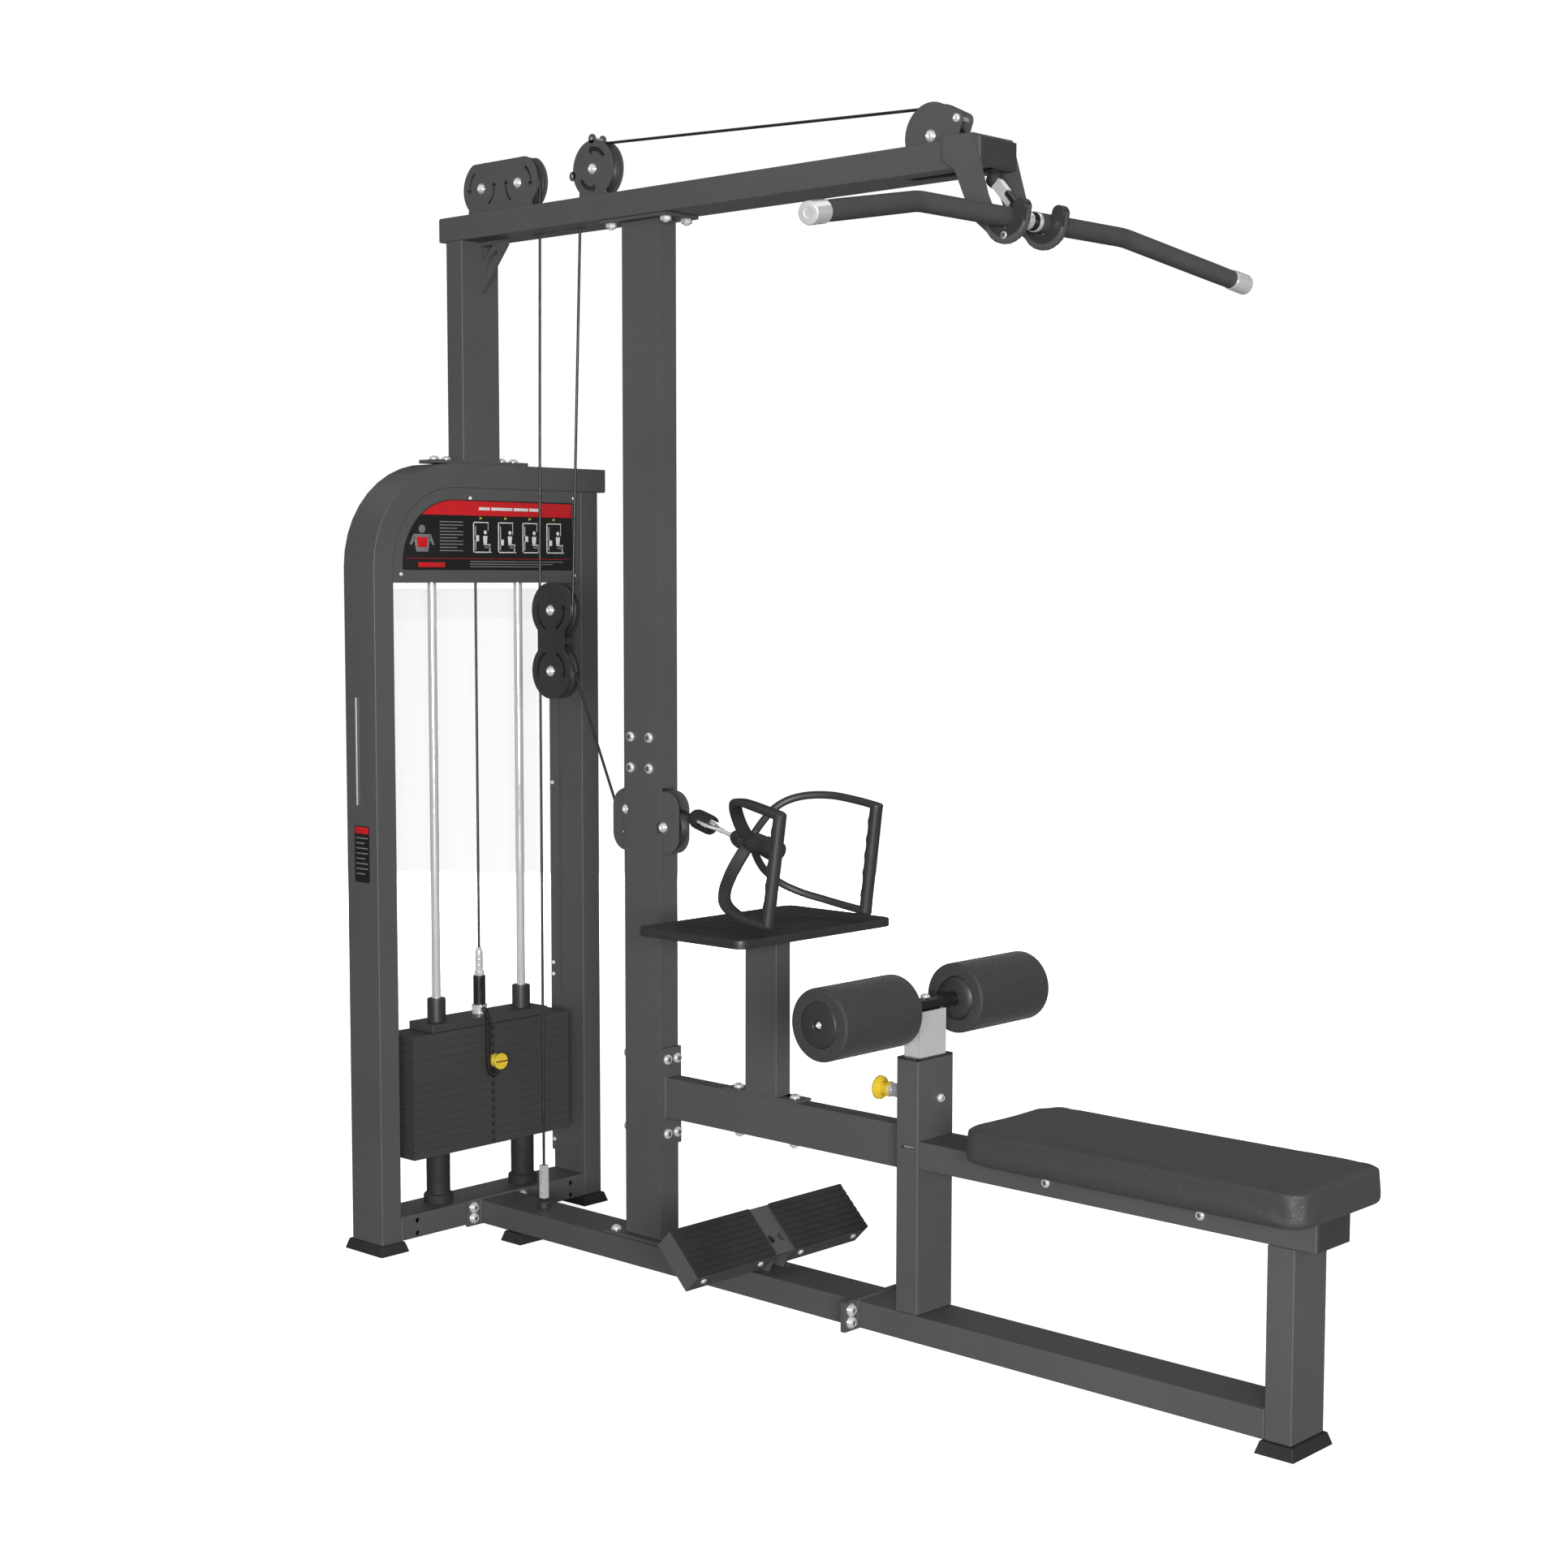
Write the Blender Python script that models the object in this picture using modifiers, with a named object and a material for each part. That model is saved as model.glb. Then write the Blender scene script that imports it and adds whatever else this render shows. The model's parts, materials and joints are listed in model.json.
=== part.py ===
"""Lat pulldown and low row machine with a selectorised weight stack.

Metres, +Z up. The machine is laid out with X = 0 at the back of the weight tower and +X towards the
seat, Y = 0 on the centre plane of the cables and the floor at Z = 0. The last step moves everything
back along X, so that the origin ends up on the floor under the middle of the machine.
"""

import math

import bmesh
import bpy
from mathutils import Matrix, Vector

# ---- driving dimensions -------------------------------------------------------------------------
ORIGIN_X = 1.058            # the machine's middle, in the layout described above
GAP = 0.0003                # left between pieces that touch
WALL = 0.003                # wall of every steel tube
TUBE = 0.050                # short side of the frame tube
WIDE = 0.100                # long side of the frame tube
TUBE_BOTTOM = 0.0215        # the frame stands this high, on its rubber feet
BASE_TOP = 0.0715
TOWER_HALF = 0.307          # half the outer width of the weight tower
BEAM_BOTTOM = 1.580
BEAM_TOP = 1.630
ARCH_R = 0.215              # outer radius of the tower's bent corner
BOOM_BOTTOM = 2.091
BOOM_TOP = 2.141
BOOM_END = 1.436
COLUMN_X = (0.5303, 0.6303)
POST_X = (1.2625, 1.3125)   # hold-down post
LEG_X = (2.0316, 2.0816)    # front leg under the seat
SEAT_TUBE_Z = (0.3407, 0.3907)
RAIL_Z = (0.3260, 0.4065)
RAIL_HALF = 0.0195
JOINT_X = (1.162, 1.172)    # the bolted joint between the two base beams
ROD_X = 0.050               # guide rods, stack and stack cable share this plane
ROD_Y = 0.118
ROD_R = 0.009
PLATE_PITCH = 0.01738
STACK_BOTTOM = 0.1828
STACK_X = (0.006, 0.094)
STACK_HALF = 0.2165
RESTING = 10
SELECTED = 5
CABLE_R = 0.0028
PITCH_R = 0.050             # cable centreline on a pulley
SMALL_PITCH_R = 0.041       # the same on the two small ones in the column
RIM = 0.004                 # a pulley's rim stands this far outside that line
PLATE_R = 0.057             # pulley cover plates
PLATE_Y = (0.012, 0.016)
TOP_REAR = (0.100, 2.1965)
TOP_FRONT = (0.214, 2.1965)
MID = (0.4375, 2.1997)
FRONT = (1.300, 2.160)
CARRIAGE_UP = (0.304, 1.3276)
CARRIAGE_LOW = (0.304, 1.2033)
COLUMN_REAR = (0.528, 0.9344)
COLUMN_FRONT = (0.6315, 0.9043)
BAR = (1.497, 1.998)        # lat bar centreline, X and Z
BAR_BEND_Y = 0.287
BAR_END = (1.5497, 0.6087, 1.9387)
LAT_END = (1.4190, 2.0842)   # where the lat cable ends in its rubber stopper
ROW_END = (0.6920, 0.9312)
GRIP_R = 0.017
CORE_R = 0.0125
ROLLER = (1.2870, 0.630)    # X and Z of the roller shaft
ROLLER_R = 0.0645
ROLLER_Y = (0.079, 0.292)
PAD_X = (1.475, 2.144)
PAD_HALF = 0.140
PAD_Z = (0.3912, 0.4565)
TRAY_X = (0.757, 1.032)
TRAY_Z = (0.7240, 0.7410)

PARTS = bpy.data.collections.new("lat_pulldown_machine")
CUTTERS = bpy.data.collections.new("cutters")
MATERIALS = {
    "paint": ((0.085, 0.085, 0.088), 0.55, 0.3),
    "stack_paint": ((0.030, 0.030, 0.031), 0.6, 0.2),
    "chrome": ((0.80, 0.80, 0.82), 0.15, 1.0),
    "rubber": ((0.020, 0.020, 0.021), 0.75, 0.0),
    "plastic": ((0.030, 0.030, 0.032), 0.5, 0.0),
    "cable": ((0.020, 0.020, 0.020), 0.4, 0.0),
    "yellow": ((0.85, 0.62, 0.03), 0.4, 0.0),
    "vinyl": ((0.030, 0.030, 0.031), 0.6, 0.0),
    "foam": ((0.035, 0.035, 0.036), 0.85, 0.0),
    "shroud": ((0.85, 0.86, 0.87), 0.45, 0.0),
}


# ---- building helpers ---------------------------------------------------------------------------
def clear_scene():
    for old in list(bpy.data.objects):
        bpy.data.objects.remove(old)
    for collection in (PARTS, CUTTERS):
        bpy.context.scene.collection.children.link(collection)


def material(name):
    found = bpy.data.materials.get(name)
    if found:
        return found
    colour, roughness, metallic = MATERIALS[name]
    made = bpy.data.materials.new(name)
    made.use_nodes = True
    shader = made.node_tree.nodes["Principled BSDF"]
    shader.inputs["Base Color"].default_value = (*colour, 1.0)
    shader.inputs["Roughness"].default_value = roughness
    shader.inputs["Metallic"].default_value = metallic
    return made


def part(name, mesh, finish="paint"):
    """A mesh as an object in the parts collection."""
    made = bpy.data.objects.new(name, mesh)
    PARTS.objects.link(made)
    mesh.materials.clear()
    mesh.materials.append(material(finish))
    return made


def mesh_from(bm, name):
    mesh = bpy.data.meshes.new(name)
    bm.to_mesh(mesh)
    bm.free()
    return mesh


def box(name, x, y, z, finish="paint"):
    """A box from three (low, high) pairs."""
    bm = bmesh.new()
    bmesh.ops.create_cube(bm, size=1.0)
    size = Vector((x[1] - x[0], y[1] - y[0], z[1] - z[0]))
    centre = Vector((x[0] + x[1], y[0] + y[1], z[0] + z[1])) / 2
    bmesh.ops.scale(bm, vec=size, verts=bm.verts)
    bmesh.ops.translate(bm, vec=centre, verts=bm.verts)
    return part(name, mesh_from(bm, name), finish)


def rod(name, start, end, radius, finish="paint", sides=16, end_radius=None):
    """A cylinder or cone from start to end."""
    start, end = Vector(start), Vector(end)
    bm = bmesh.new()
    bmesh.ops.create_cone(
        bm, cap_ends=True, segments=sides, radius1=radius,
        radius2=radius if end_radius is None else end_radius, depth=(end - start).length)
    turn = (end - start).to_track_quat("Z", "Y").to_matrix().to_4x4()
    bmesh.ops.transform(bm, matrix=Matrix.Translation((start + end) / 2) @ turn, verts=bm.verts)
    return part(name, mesh_from(bm, name), finish)


def baked(source, name=None):
    """The object's shape as a plain mesh object, which takes its place."""
    bpy.context.view_layer.update()
    evaluated = source.evaluated_get(bpy.context.evaluated_depsgraph_get())
    mesh = bpy.data.meshes.new_from_object(evaluated)
    name = name or source.name
    finish = source.data.materials[0].name if source.data.materials else "paint"
    matrix = source.matrix_world.copy()
    bpy.data.objects.remove(source)
    bm = bmesh.new()
    bm.from_mesh(mesh)
    bmesh.ops.remove_doubles(bm, verts=bm.verts, dist=0.00002)
    bmesh.ops.recalc_face_normals(bm, faces=bm.faces)
    bm.to_mesh(mesh)
    bm.free()
    made = part(name, mesh, finish)
    made.matrix_world = matrix
    return made


PLANES = {  # local x, y and z of a flat outline, as columns
    "XY": Matrix(((1, 0, 0), (0, 1, 0), (0, 0, 1))),
    "XZ": Matrix(((1, 0, 0), (0, 0, -1), (0, 1, 0))),
    "YZ": Matrix(((0, 0, 1), (1, 0, 0), (0, 1, 0))),
}


def prism(name, outline, plane, low, high, finish="paint", holes=()):
    """A flat outline with holes, extruded from low to high along the plane's normal axis."""
    curve = bpy.data.curves.new(name, "CURVE")
    curve.dimensions = "2D"
    curve.fill_mode = "BOTH"
    curve.extrude = (high - low) / 2
    for loop in (outline, *holes):
        spline = curve.splines.new("POLY")
        spline.points.add(len(loop) - 1)
        for point, (a, b) in zip(spline.points, loop):
            point.co = (a, b, 0, 1)
        spline.use_cyclic_u = True
    made = bpy.data.objects.new(name, curve)
    PARTS.objects.link(made)
    curve.materials.append(material(finish))
    axis = {"XY": Vector((0, 0, 1)), "XZ": Vector((0, 1, 0)), "YZ": Vector((1, 0, 0))}[plane]
    made.matrix_world = Matrix.Translation(axis * (low + high) / 2) @ PLANES[plane].to_4x4()
    return baked(made)


def turned(name, profile, start, direction, finish="paint", steps=24, ring=False):
    """A profile of (radius, distance along the axis) pairs turned about the axis from start."""
    mesh = bpy.data.meshes.new(name)
    count = len(profile)
    edges = [(i, i + 1) for i in range(count - 1)]
    if ring:
        edges.append((count - 1, 0))
    mesh.from_pydata([(r, 0, z) for r, z in profile], edges, [])
    made = part(name, mesh, finish)
    screw = made.modifiers.new("turn", "SCREW")
    screw.axis = "Z"
    screw.steps = screw.render_steps = steps
    screw.use_merge_vertices = True
    screw.merge_threshold = 0.00001
    made.matrix_world = (
        Matrix.Translation(start) @ Vector(direction).to_track_quat("Z", "Y").to_matrix().to_4x4())
    return baked(made)


def tube(name, points, radius, finish="paint", resolution=2, cyclic=False):
    """A round wire or tube along the points."""
    curve = bpy.data.curves.new(name, "CURVE")
    curve.dimensions = "3D"
    curve.bevel_depth = radius
    curve.bevel_resolution = resolution
    curve.use_fill_caps = not cyclic
    spline = curve.splines.new("POLY")
    spline.points.add(len(points) - 1)
    for point, co in zip(spline.points, points):
        point.co = (*co, 1)
    spline.use_cyclic_u = cyclic
    made = bpy.data.objects.new(name, curve)
    PARTS.objects.link(made)
    curve.materials.append(material(finish))
    return baked(made)


def boolean(target, tools, operation):
    for tool in tools:
        if tool.name in PARTS.objects:
            PARTS.objects.unlink(tool)
        if tool.name not in CUTTERS.objects:
            CUTTERS.objects.link(tool)
        tool.name = "cutter_" + tool.name
        tool.hide_render = True
        tool.display_type = "WIRE"
        modifier = target.modifiers.new(operation.lower(), "BOOLEAN")
        modifier.operation = operation
        modifier.solver = "EXACT"
        modifier.object = tool
    return target


def cut(target, *tools):
    return boolean(target, tools, "DIFFERENCE")


def join(target, *tools):
    return boolean(target, tools, "UNION")


def repeat(target, count, offset):
    """Copies of a cutter, each moved by offset from the last."""
    array = target.modifiers.new("repeat", "ARRAY")
    array.count = count
    array.use_relative_offset = False
    array.use_constant_offset = True
    array.constant_offset_displace = offset
    return target


def set_origin(target, point):
    """Puts the object's origin on its joint's axis without moving its shape."""
    offset = target.matrix_world.inverted() @ Vector(point)
    target.data.transform(Matrix.Translation(-offset))
    target.location = Vector(point)
    return target


def arc(centre, radius, start, end, count):
    """Points on an arc, angles in degrees, both ends included."""
    angles = [math.radians(start + (end - start) * i / count) for i in range(count + 1)]
    return [(centre[0] + radius * math.cos(a), centre[1] + radius * math.sin(a)) for a in angles]


def rounded(x, y, radius, count=5):
    """A rectangle with rounded corners."""
    points = []
    corners = ((x[1], y[1], 0), (x[0], y[1], 90), (x[0], y[0], 180), (x[1], y[0], 270))
    for cx, cy, start in corners:
        centre = (cx - math.copysign(radius, cx - sum(x) / 2), cy - math.copysign(radius, cy - sum(y) / 2))
        points += arc(centre, radius, start, start + 90, count)
    return points


def hull(*circles, count=28):
    """The outline of a belt round circles given as (x, z, radius)."""
    points = sorted({p for x, z, r in circles for p in arc((x, z), r, 0, 360, count)[:-1]})

    def half(ordered):
        chain = []
        for p in ordered:
            while len(chain) > 1 and (
                    (chain[-1][0] - chain[-2][0]) * (p[1] - chain[-2][1])
                    - (chain[-1][1] - chain[-2][1]) * (p[0] - chain[-2][0])) <= 1e-12:
                chain.pop()
            chain.append(p)
        return chain[:-1]

    return half(points) + half(points[::-1])


def filleted(points, radius, count=5):
    """A 3D path whose corners are rounded to the radius."""
    path = [Vector(points[0])]
    for before, corner, after in zip(points, points[1:], points[2:]):
        corner = Vector(corner)
        a, b = (Vector(before) - corner).normalized(), (Vector(after) - corner).normalized()
        half_angle = a.angle(b) / 2
        reach = radius / math.tan(half_angle)
        centre = corner + (a + b).normalized() * (radius / math.sin(half_angle))
        first, last = corner + a * reach - centre, corner + b * reach - centre
        for i in range(count + 1):
            path.append(centre + first.slerp(last, i / count).normalized() * radius)
    path.append(Vector(points[-1]))
    return path


def smooth(points, count=4):
    """A Catmull-Rom curve through the points."""
    points = [Vector(p) for p in points]
    padded = [points[0] * 2 - points[1], *points, points[-1] * 2 - points[-2]]
    path = []
    for a, b, c, d in zip(padded, padded[1:], padded[2:], padded[3:]):
        for i in range(count):
            t = i / count
            path.append((b * 2 + (c - a) * t + (a * 2 - b * 5 + c * 4 - d) * t ** 2
                         + (b * 3 - a - c * 3 + d) * t ** 3) / 2)
    return path + [points[-1]]


def belt(start, wheels, end, step=14):
    """The cable's centreline over wheels given as (centre, turn, radius), turn +1 anticlockwise and -1
    clockwise with X to the right and Z up. Returns (x, z) points."""
    stops = [(start, 0, 0.0)] + wheels + [(end, 0, 0.0)]
    leaves, meets = [], []
    for (c0, t0, r0), (c1, t1, r1) in zip(stops, stops[1:]):
        dx, dz = c1[0] - c0[0], c1[1] - c0[1]
        length, heading = math.hypot(dx, dz), math.atan2(dz, dx)
        side0, side1 = t0 * r0, t1 * r1
        swing = math.asin((side0 - side1) / length)
        direction = heading + swing
        normal = (math.sin(direction), -math.cos(direction))
        leaves.append((c0[0] + side0 * normal[0], c0[1] + side0 * normal[1]))
        meets.append((c1[0] + side1 * normal[0], c1[1] + side1 * normal[1]))
    path = [start]
    for index, (centre, turn, radius) in enumerate(wheels):
        first, last = meets[index], leaves[index + 1]
        a0 = math.atan2(first[1] - centre[1], first[0] - centre[0])
        a1 = math.atan2(last[1] - centre[1], last[0] - centre[0])
        sweep = (a1 - a0) % (2 * math.pi) if turn > 0 else -((a0 - a1) % (2 * math.pi))
        count = max(2, round(math.degrees(abs(sweep)) / step))
        for i in range(count + 1):
            a = a0 + sweep * i / count
            path.append((centre[0] + radius * math.cos(a), centre[1] + radius * math.sin(a)))
    path.append(end)
    return path


def hollow(name, x, y, z, axis, finish="paint", closed=()):
    """A rectangular tube open at both ends of its axis, or closed at the low or high end."""
    spans = {"x": list(x), "y": list(y), "z": list(z)}
    bore = {k: [v[0] + WALL, v[1] - WALL] for k, v in spans.items()}
    low, high = spans[axis]
    bore[axis] = [low + WALL if "low" in closed else low - 0.01,
                  high - WALL if "high" in closed else high + 0.01]
    made = box(name, x, y, z, finish)
    return cut(made, box(name + "_bore", bore["x"], bore["y"], bore["z"]))


def bolt(name, point, direction, radius=0.0095, height=0.007):
    """A domed bolt head standing on a face, sunk 1 mm into it so that it joins."""
    point, direction = Vector(point), Vector(direction).normalized()
    return rod(name, point - direction * 0.001, point + direction * height, radius, "chrome", 10,
               radius * 0.6)


# ---- frame --------------------------------------------------------------------------------------
def tower():
    centre = (-TOWER_HALF + ARCH_R, BEAM_TOP - ARCH_R)

    def arch(inset, foot, tip):
        """The bent tube's outline in Y and Z, with its walls moved in by inset."""
        outer, inner = ARCH_R - inset, ARCH_R - TUBE + inset
        points = [(centre[0] - outer, foot)] + arc(centre, outer, 180, 90, 10)
        points += [(tip, BEAM_TOP - inset), (tip, BEAM_BOTTOM + inset)]
        return points + arc(centre, inner, 90, 180, 10) + [(centre[0] - inner, foot)]

    made = prism("tower_arch", arch(0, TUBE_BOTTOM, 0.330), "YZ", 0, WIDE)
    cut(made, prism("arch_bore", arch(WALL, 0.0, 0.327), "YZ", WALL, WIDE - WALL),
        rod("arch_cable_hole", (ROD_X, 0, BEAM_BOTTOM - 0.01), (ROD_X, 0, BEAM_TOP + 0.01), 0.010))
    hollow("tower_right_post", (0, WIDE), (TOWER_HALF - TUBE, TOWER_HALF),
           (TUBE_BOTTOM, BEAM_BOTTOM - GAP), "z")
    reach = TOWER_HALF - TUBE - GAP
    cross = hollow("tower_crossbeam", (0, WIDE), (-reach, reach), (TUBE_BOTTOM, BASE_TOP), "y")
    for side in (-1, 1):
        for z in (0.031, 0.058):
            cut(cross, rod("cross_hole", (WIDE - 0.01, side * 0.215, z), (WIDE + 0.01, side * 0.215, z),
                           0.0055, sides=12))
    panel_arc = arc(centre, ARCH_R - TUBE - GAP, 180, 90, 10)
    panel = [(-reach, 1.3834)] + panel_arc + [(reach, BEAM_BOTTOM - GAP), (reach, 1.3834)]
    prism("sign_panel", panel, "YZ", 0.095, 0.0975)


def shroud():
    """A bent translucent sheet behind the stack, its flanges on the inner faces of the posts."""
    edge, thick, radius, back = 0.2567, 0.0025, 0.025, -0.003
    outer = arc((back, edge - radius), radius, 90, 180, 5)
    inner = arc((back, edge - radius), radius - thick, 180, 90, 5)
    outline = [(0.026, edge)] + outer
    outline += [(x, -y) for x, y in reversed(outer)] + [(0.026, -edge), (0.026, -edge + thick)]
    outline += [(x, -y) for x, y in reversed(inner)] + inner + [(0.026, edge - thick)]
    prism("rear_shroud", outline, "XY", 0.1117, 1.370, "shroud")


def foot(name, x, y):
    """A rubber boot that flares out under a tube end of the given spans."""
    bm = bmesh.new()
    bmesh.ops.create_cube(bm, size=1.0)
    half = ((x[1] - x[0]) / 2, (y[1] - y[0]) / 2)
    for v in bm.verts:
        flare = 0.0115 if v.co.z < 0 else 0.005
        v.co = ((half[0] + flare) * math.copysign(1, v.co.x) + sum(x) / 2,
                (half[1] + flare) * math.copysign(1, v.co.y) + sum(y) / 2,
                0.0 if v.co.z < 0 else TUBE_BOTTOM - GAP)
    return part(name, mesh_from(bm, name), "rubber")


def feet():
    foot("foot_tower_left", (0, WIDE), (-TOWER_HALF, -TOWER_HALF + TUBE))
    foot("foot_tower_right", (0, WIDE), (TOWER_HALF - TUBE, TOWER_HALF))
    foot("foot_middle", (0.195, 0.235), (-TUBE, TUBE))
    foot("foot_front", LEG_X, (-TUBE, TUBE))


def base_beams():
    def flange(name, x, bolts_at):
        plate = box(name, x, (-0.086, 0.086), (0.0190, 0.0750))
        for side in (-1, 1):
            for z in (0.035, 0.058):
                join(plate, bolt(name + "_bolt", (bolts_at[0], side * 0.068, z), (bolts_at[1], 0, 0)))
        return plate

    rear = hollow("rear_base_beam", (WIDE + 0.006, JOINT_X[0] + 0.005 - GAP), (-TUBE, TUBE),
                  (TUBE_BOTTOM, BASE_TOP), "x")
    join(rear, flange("rear_flange", (WIDE + GAP, WIDE + 0.0065), (WIDE + 0.0065, 1)),
         flange("joint_rear", (JOINT_X[0], JOINT_X[0] + 0.005 - GAP), (JOINT_X[0], -1)))
    cut(rear, box("rear_through", (WIDE - 0.01, JOINT_X[1]), (-0.030, 0.030), (0.030, 0.063)))
    front = hollow("front_base_beam", (JOINT_X[0] + 0.005, LEG_X[0] - GAP), (-TUBE, TUBE),
                   (TUBE_BOTTOM, BASE_TOP), "x")
    join(front, flange("joint_front", (JOINT_X[0] + 0.005, JOINT_X[1]), (JOINT_X[1], 1)))
    hollow("front_leg", LEG_X, (-TUBE, TUBE), (TUBE_BOTTOM, SEAT_TUBE_Z[0] - GAP), "z")


def strut():
    made = hollow("rear_strut", (0.025, 0.075), (-TUBE, TUBE), (BEAM_TOP + GAP, BOOM_BOTTOM - GAP), "z")
    plate = cut(box("strut_plate", (0.020, 0.080), (-0.124, 0.124), (BEAM_TOP + GAP, BEAM_TOP + 0.008)),
                box("strut_plate_hole", (0.030, 0.070), (-0.04, 0.04), (BEAM_TOP - 0.01, BEAM_TOP + 0.02)))
    join(made, plate)
    for y in (-0.108, -0.075, 0.075, 0.108):
        join(made, bolt("strut_bolt", (0.050, y, BEAM_TOP + 0.008), (0, 0, 1), 0.009, 0.008))
    gusset = [(0.074, 1.985), (0.082, 1.985), (0.165, BOOM_BOTTOM - 0.012), (0.165, BOOM_BOTTOM - GAP),
              (0.074, BOOM_BOTTOM - GAP)]
    join(made, prism("strut_gusset", gusset, "XZ", -0.003, 0.003,
                     holes=[arc((0.128, 2.066), 0.0055, 0, 330, 11)]))


def boom():
    made = hollow("boom", (0.004, BOOM_END), (-TUBE, TUBE), (BOOM_BOTTOM, BOOM_TOP), "x",
                  closed=("low", "high"))
    z = (BOOM_BOTTOM - 0.01, BOOM_TOP + 0.01)
    cut(made, rod("boom_stack_hole", (ROD_X, 0, z[0]), (ROD_X, 0, z[1]), 0.010),
        box("boom_slot_rear", (0.239, 0.311), (-0.005, 0.005), z),
        box("boom_slot_mid", (0.331, 0.403), (-0.005, 0.005), z),
        box("boom_slot_front", (1.2425, 1.430), (-0.0175, 0.0175), z))


def column():
    low, high = COLUMN_X
    made = hollow("column", COLUMN_X, (-0.025, 0.025), (BASE_TOP + GAP, BOOM_BOTTOM - GAP), "z")
    for z, up in ((BASE_TOP + GAP, 1), (BOOM_BOTTOM - GAP, -1)):
        faces = sorted((z, z + up * 0.006))
        join(made, box("column_plate", (low - 0.042, high + 0.042), (-0.045, 0.045), faces))
        for x in (low - 0.026, high + 0.026):
            for y in (-0.028, 0.028):
                join(made, bolt("column_plate_bolt", (x, y, z + up * 0.006), (0, 0, up)))
    for y in (-1, 1):
        for x in (0.550, 0.6024):
            for z in (1.0193, 1.0805):
                join(made, bolt("column_bolt", (x, y * 0.025, z), (0, y, 0)))
    for y in (-0.0135, 0.0135):
        for z in (0.2925, 0.4420):
            join(made, bolt("column_nut", (low, y, z), (-1, 0, 0), 0.0085, 0.008))
    reach = PLATE_Y[1] + GAP
    for x in COLUMN_X:
        cut(made, box("column_slot", (x - 0.01, x + 0.01), (-reach, reach), (0.8510, 0.9815)))
    for x, z in (COLUMN_REAR, COLUMN_FRONT):
        cut(made, rod("column_notch", (x, -0.03, z), (x, 0.03, z), 0.0125, sides=20))


def seat_frame():
    rail = hollow("seat_rail", (COLUMN_X[1] + 0.006, POST_X[0] - GAP), (-RAIL_HALF, RAIL_HALF), RAIL_Z, "x")
    join(rail, box("rail_flange", (COLUMN_X[1] + GAP, COLUMN_X[1] + 0.0087), (-0.025, 0.025), (0.270, 0.465)))
    for y in (-0.0135, 0.0135):
        for z in (0.2925, 0.4420):
            join(rail, bolt("rail_bolt", (COLUMN_X[1] + 0.0087, y, z), (1, 0, 0)))
    for x in (0.825, 0.968):
        join(rail, bolt("rail_nut", (x, 0, RAIL_Z[0]), (0, 0, -1), 0.0085, 0.008))
    tube_ = hollow("seat_tube", (POST_X[1] + GAP, 2.120), (-TUBE, TUBE), SEAT_TUBE_Z, "x",
                   closed=("high",))
    for x in (1.596, 1.906):
        for side in (-1, 1):
            join(tube_, bolt("seat_bolt", (x, side * TUBE, 0.3650), (0, side, 0), 0.008, 0.005))


def hold_down_post():
    made = hollow("hold_down_post", POST_X, (-TUBE, TUBE), (BASE_TOP + GAP, 0.5355), "z")
    join(made, rod("post_collar", (1.2045, 0, 0.463), (POST_X[0] + 0.001, 0, 0.463), 0.012, "chrome"))
    cut(made, rod("post_pin_hole", (1.19, 0, 0.463), (POST_X[0] + WALL + 0.0005, 0, 0.463), 0.0070))
    join(made, bolt("post_screw", (POST_X[1], 0.013, 0.4607), (1, 0, 0), 0.0075, 0.005))


# ---- weight stack -------------------------------------------------------------------------------
def guides():
    for side, y in (("left", -ROD_Y), ("right", ROD_Y)):
        rod("guide_rod_" + side, (ROD_X, y, BASE_TOP + GAP), (ROD_X, y, BEAM_BOTTOM - 0.0043), ROD_R, "chrome")
        top = STACK_BOTTOM - BASE_TOP - 2 * GAP
        profile = [(0.0098, top), (0.025, top), (0.025, 0.020), (0.0315, 0.016), (0.0315, 0), (0.0098, 0)]
        turned("stack_buffer_" + side, profile, (ROD_X, y, BASE_TOP + GAP), (0, 0, 1), "rubber", 24, True)


def stack_block(name, count, bottom):
    """Several weight plates as one block with a groove at each joint between them."""
    top = bottom + count * PLATE_PITCH - GAP
    made = box(name, STACK_X, (-STACK_HALF, STACK_HALF), (bottom, top), "stack_paint")
    far = 0.02
    groove_z = (bottom + PLATE_PITCH - 0.0006, bottom + PLATE_PITCH + 0.0006)
    groove = box(name + "_groove", (STACK_X[0] - far, STACK_X[1] + far),
                 (-STACK_HALF - far, STACK_HALF + far), groove_z)
    inside = 0.0015
    cut(groove, box(name + "_core", (STACK_X[0] + inside, STACK_X[1] - inside),
                    (-STACK_HALF + inside, STACK_HALF - inside), (groove_z[0] - 0.01, groove_z[1] + 0.01)))
    cut(made, repeat(groove, count - 1, (0, 0, PLATE_PITCH)))
    holes = rod(name + "_pin_hole", (ROD_X, 0, bottom + PLATE_PITCH / 2),
                (STACK_X[1] + 0.01, 0, bottom + PLATE_PITCH / 2), 0.0055, sides=10)
    cut(made, repeat(holes, count, (0, 0, PLATE_PITCH)))
    cut(made, rod(name + "_rod_hole", (ROD_X, 0, bottom - 0.01), (ROD_X, 0, top + 0.01), 0.0145))
    for y in (-ROD_Y, ROD_Y):
        cut(made, rod(name + "_guide_hole", (ROD_X, y, bottom - 0.01), (ROD_X, y, top + 0.01), 0.0105))
    return made


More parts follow.
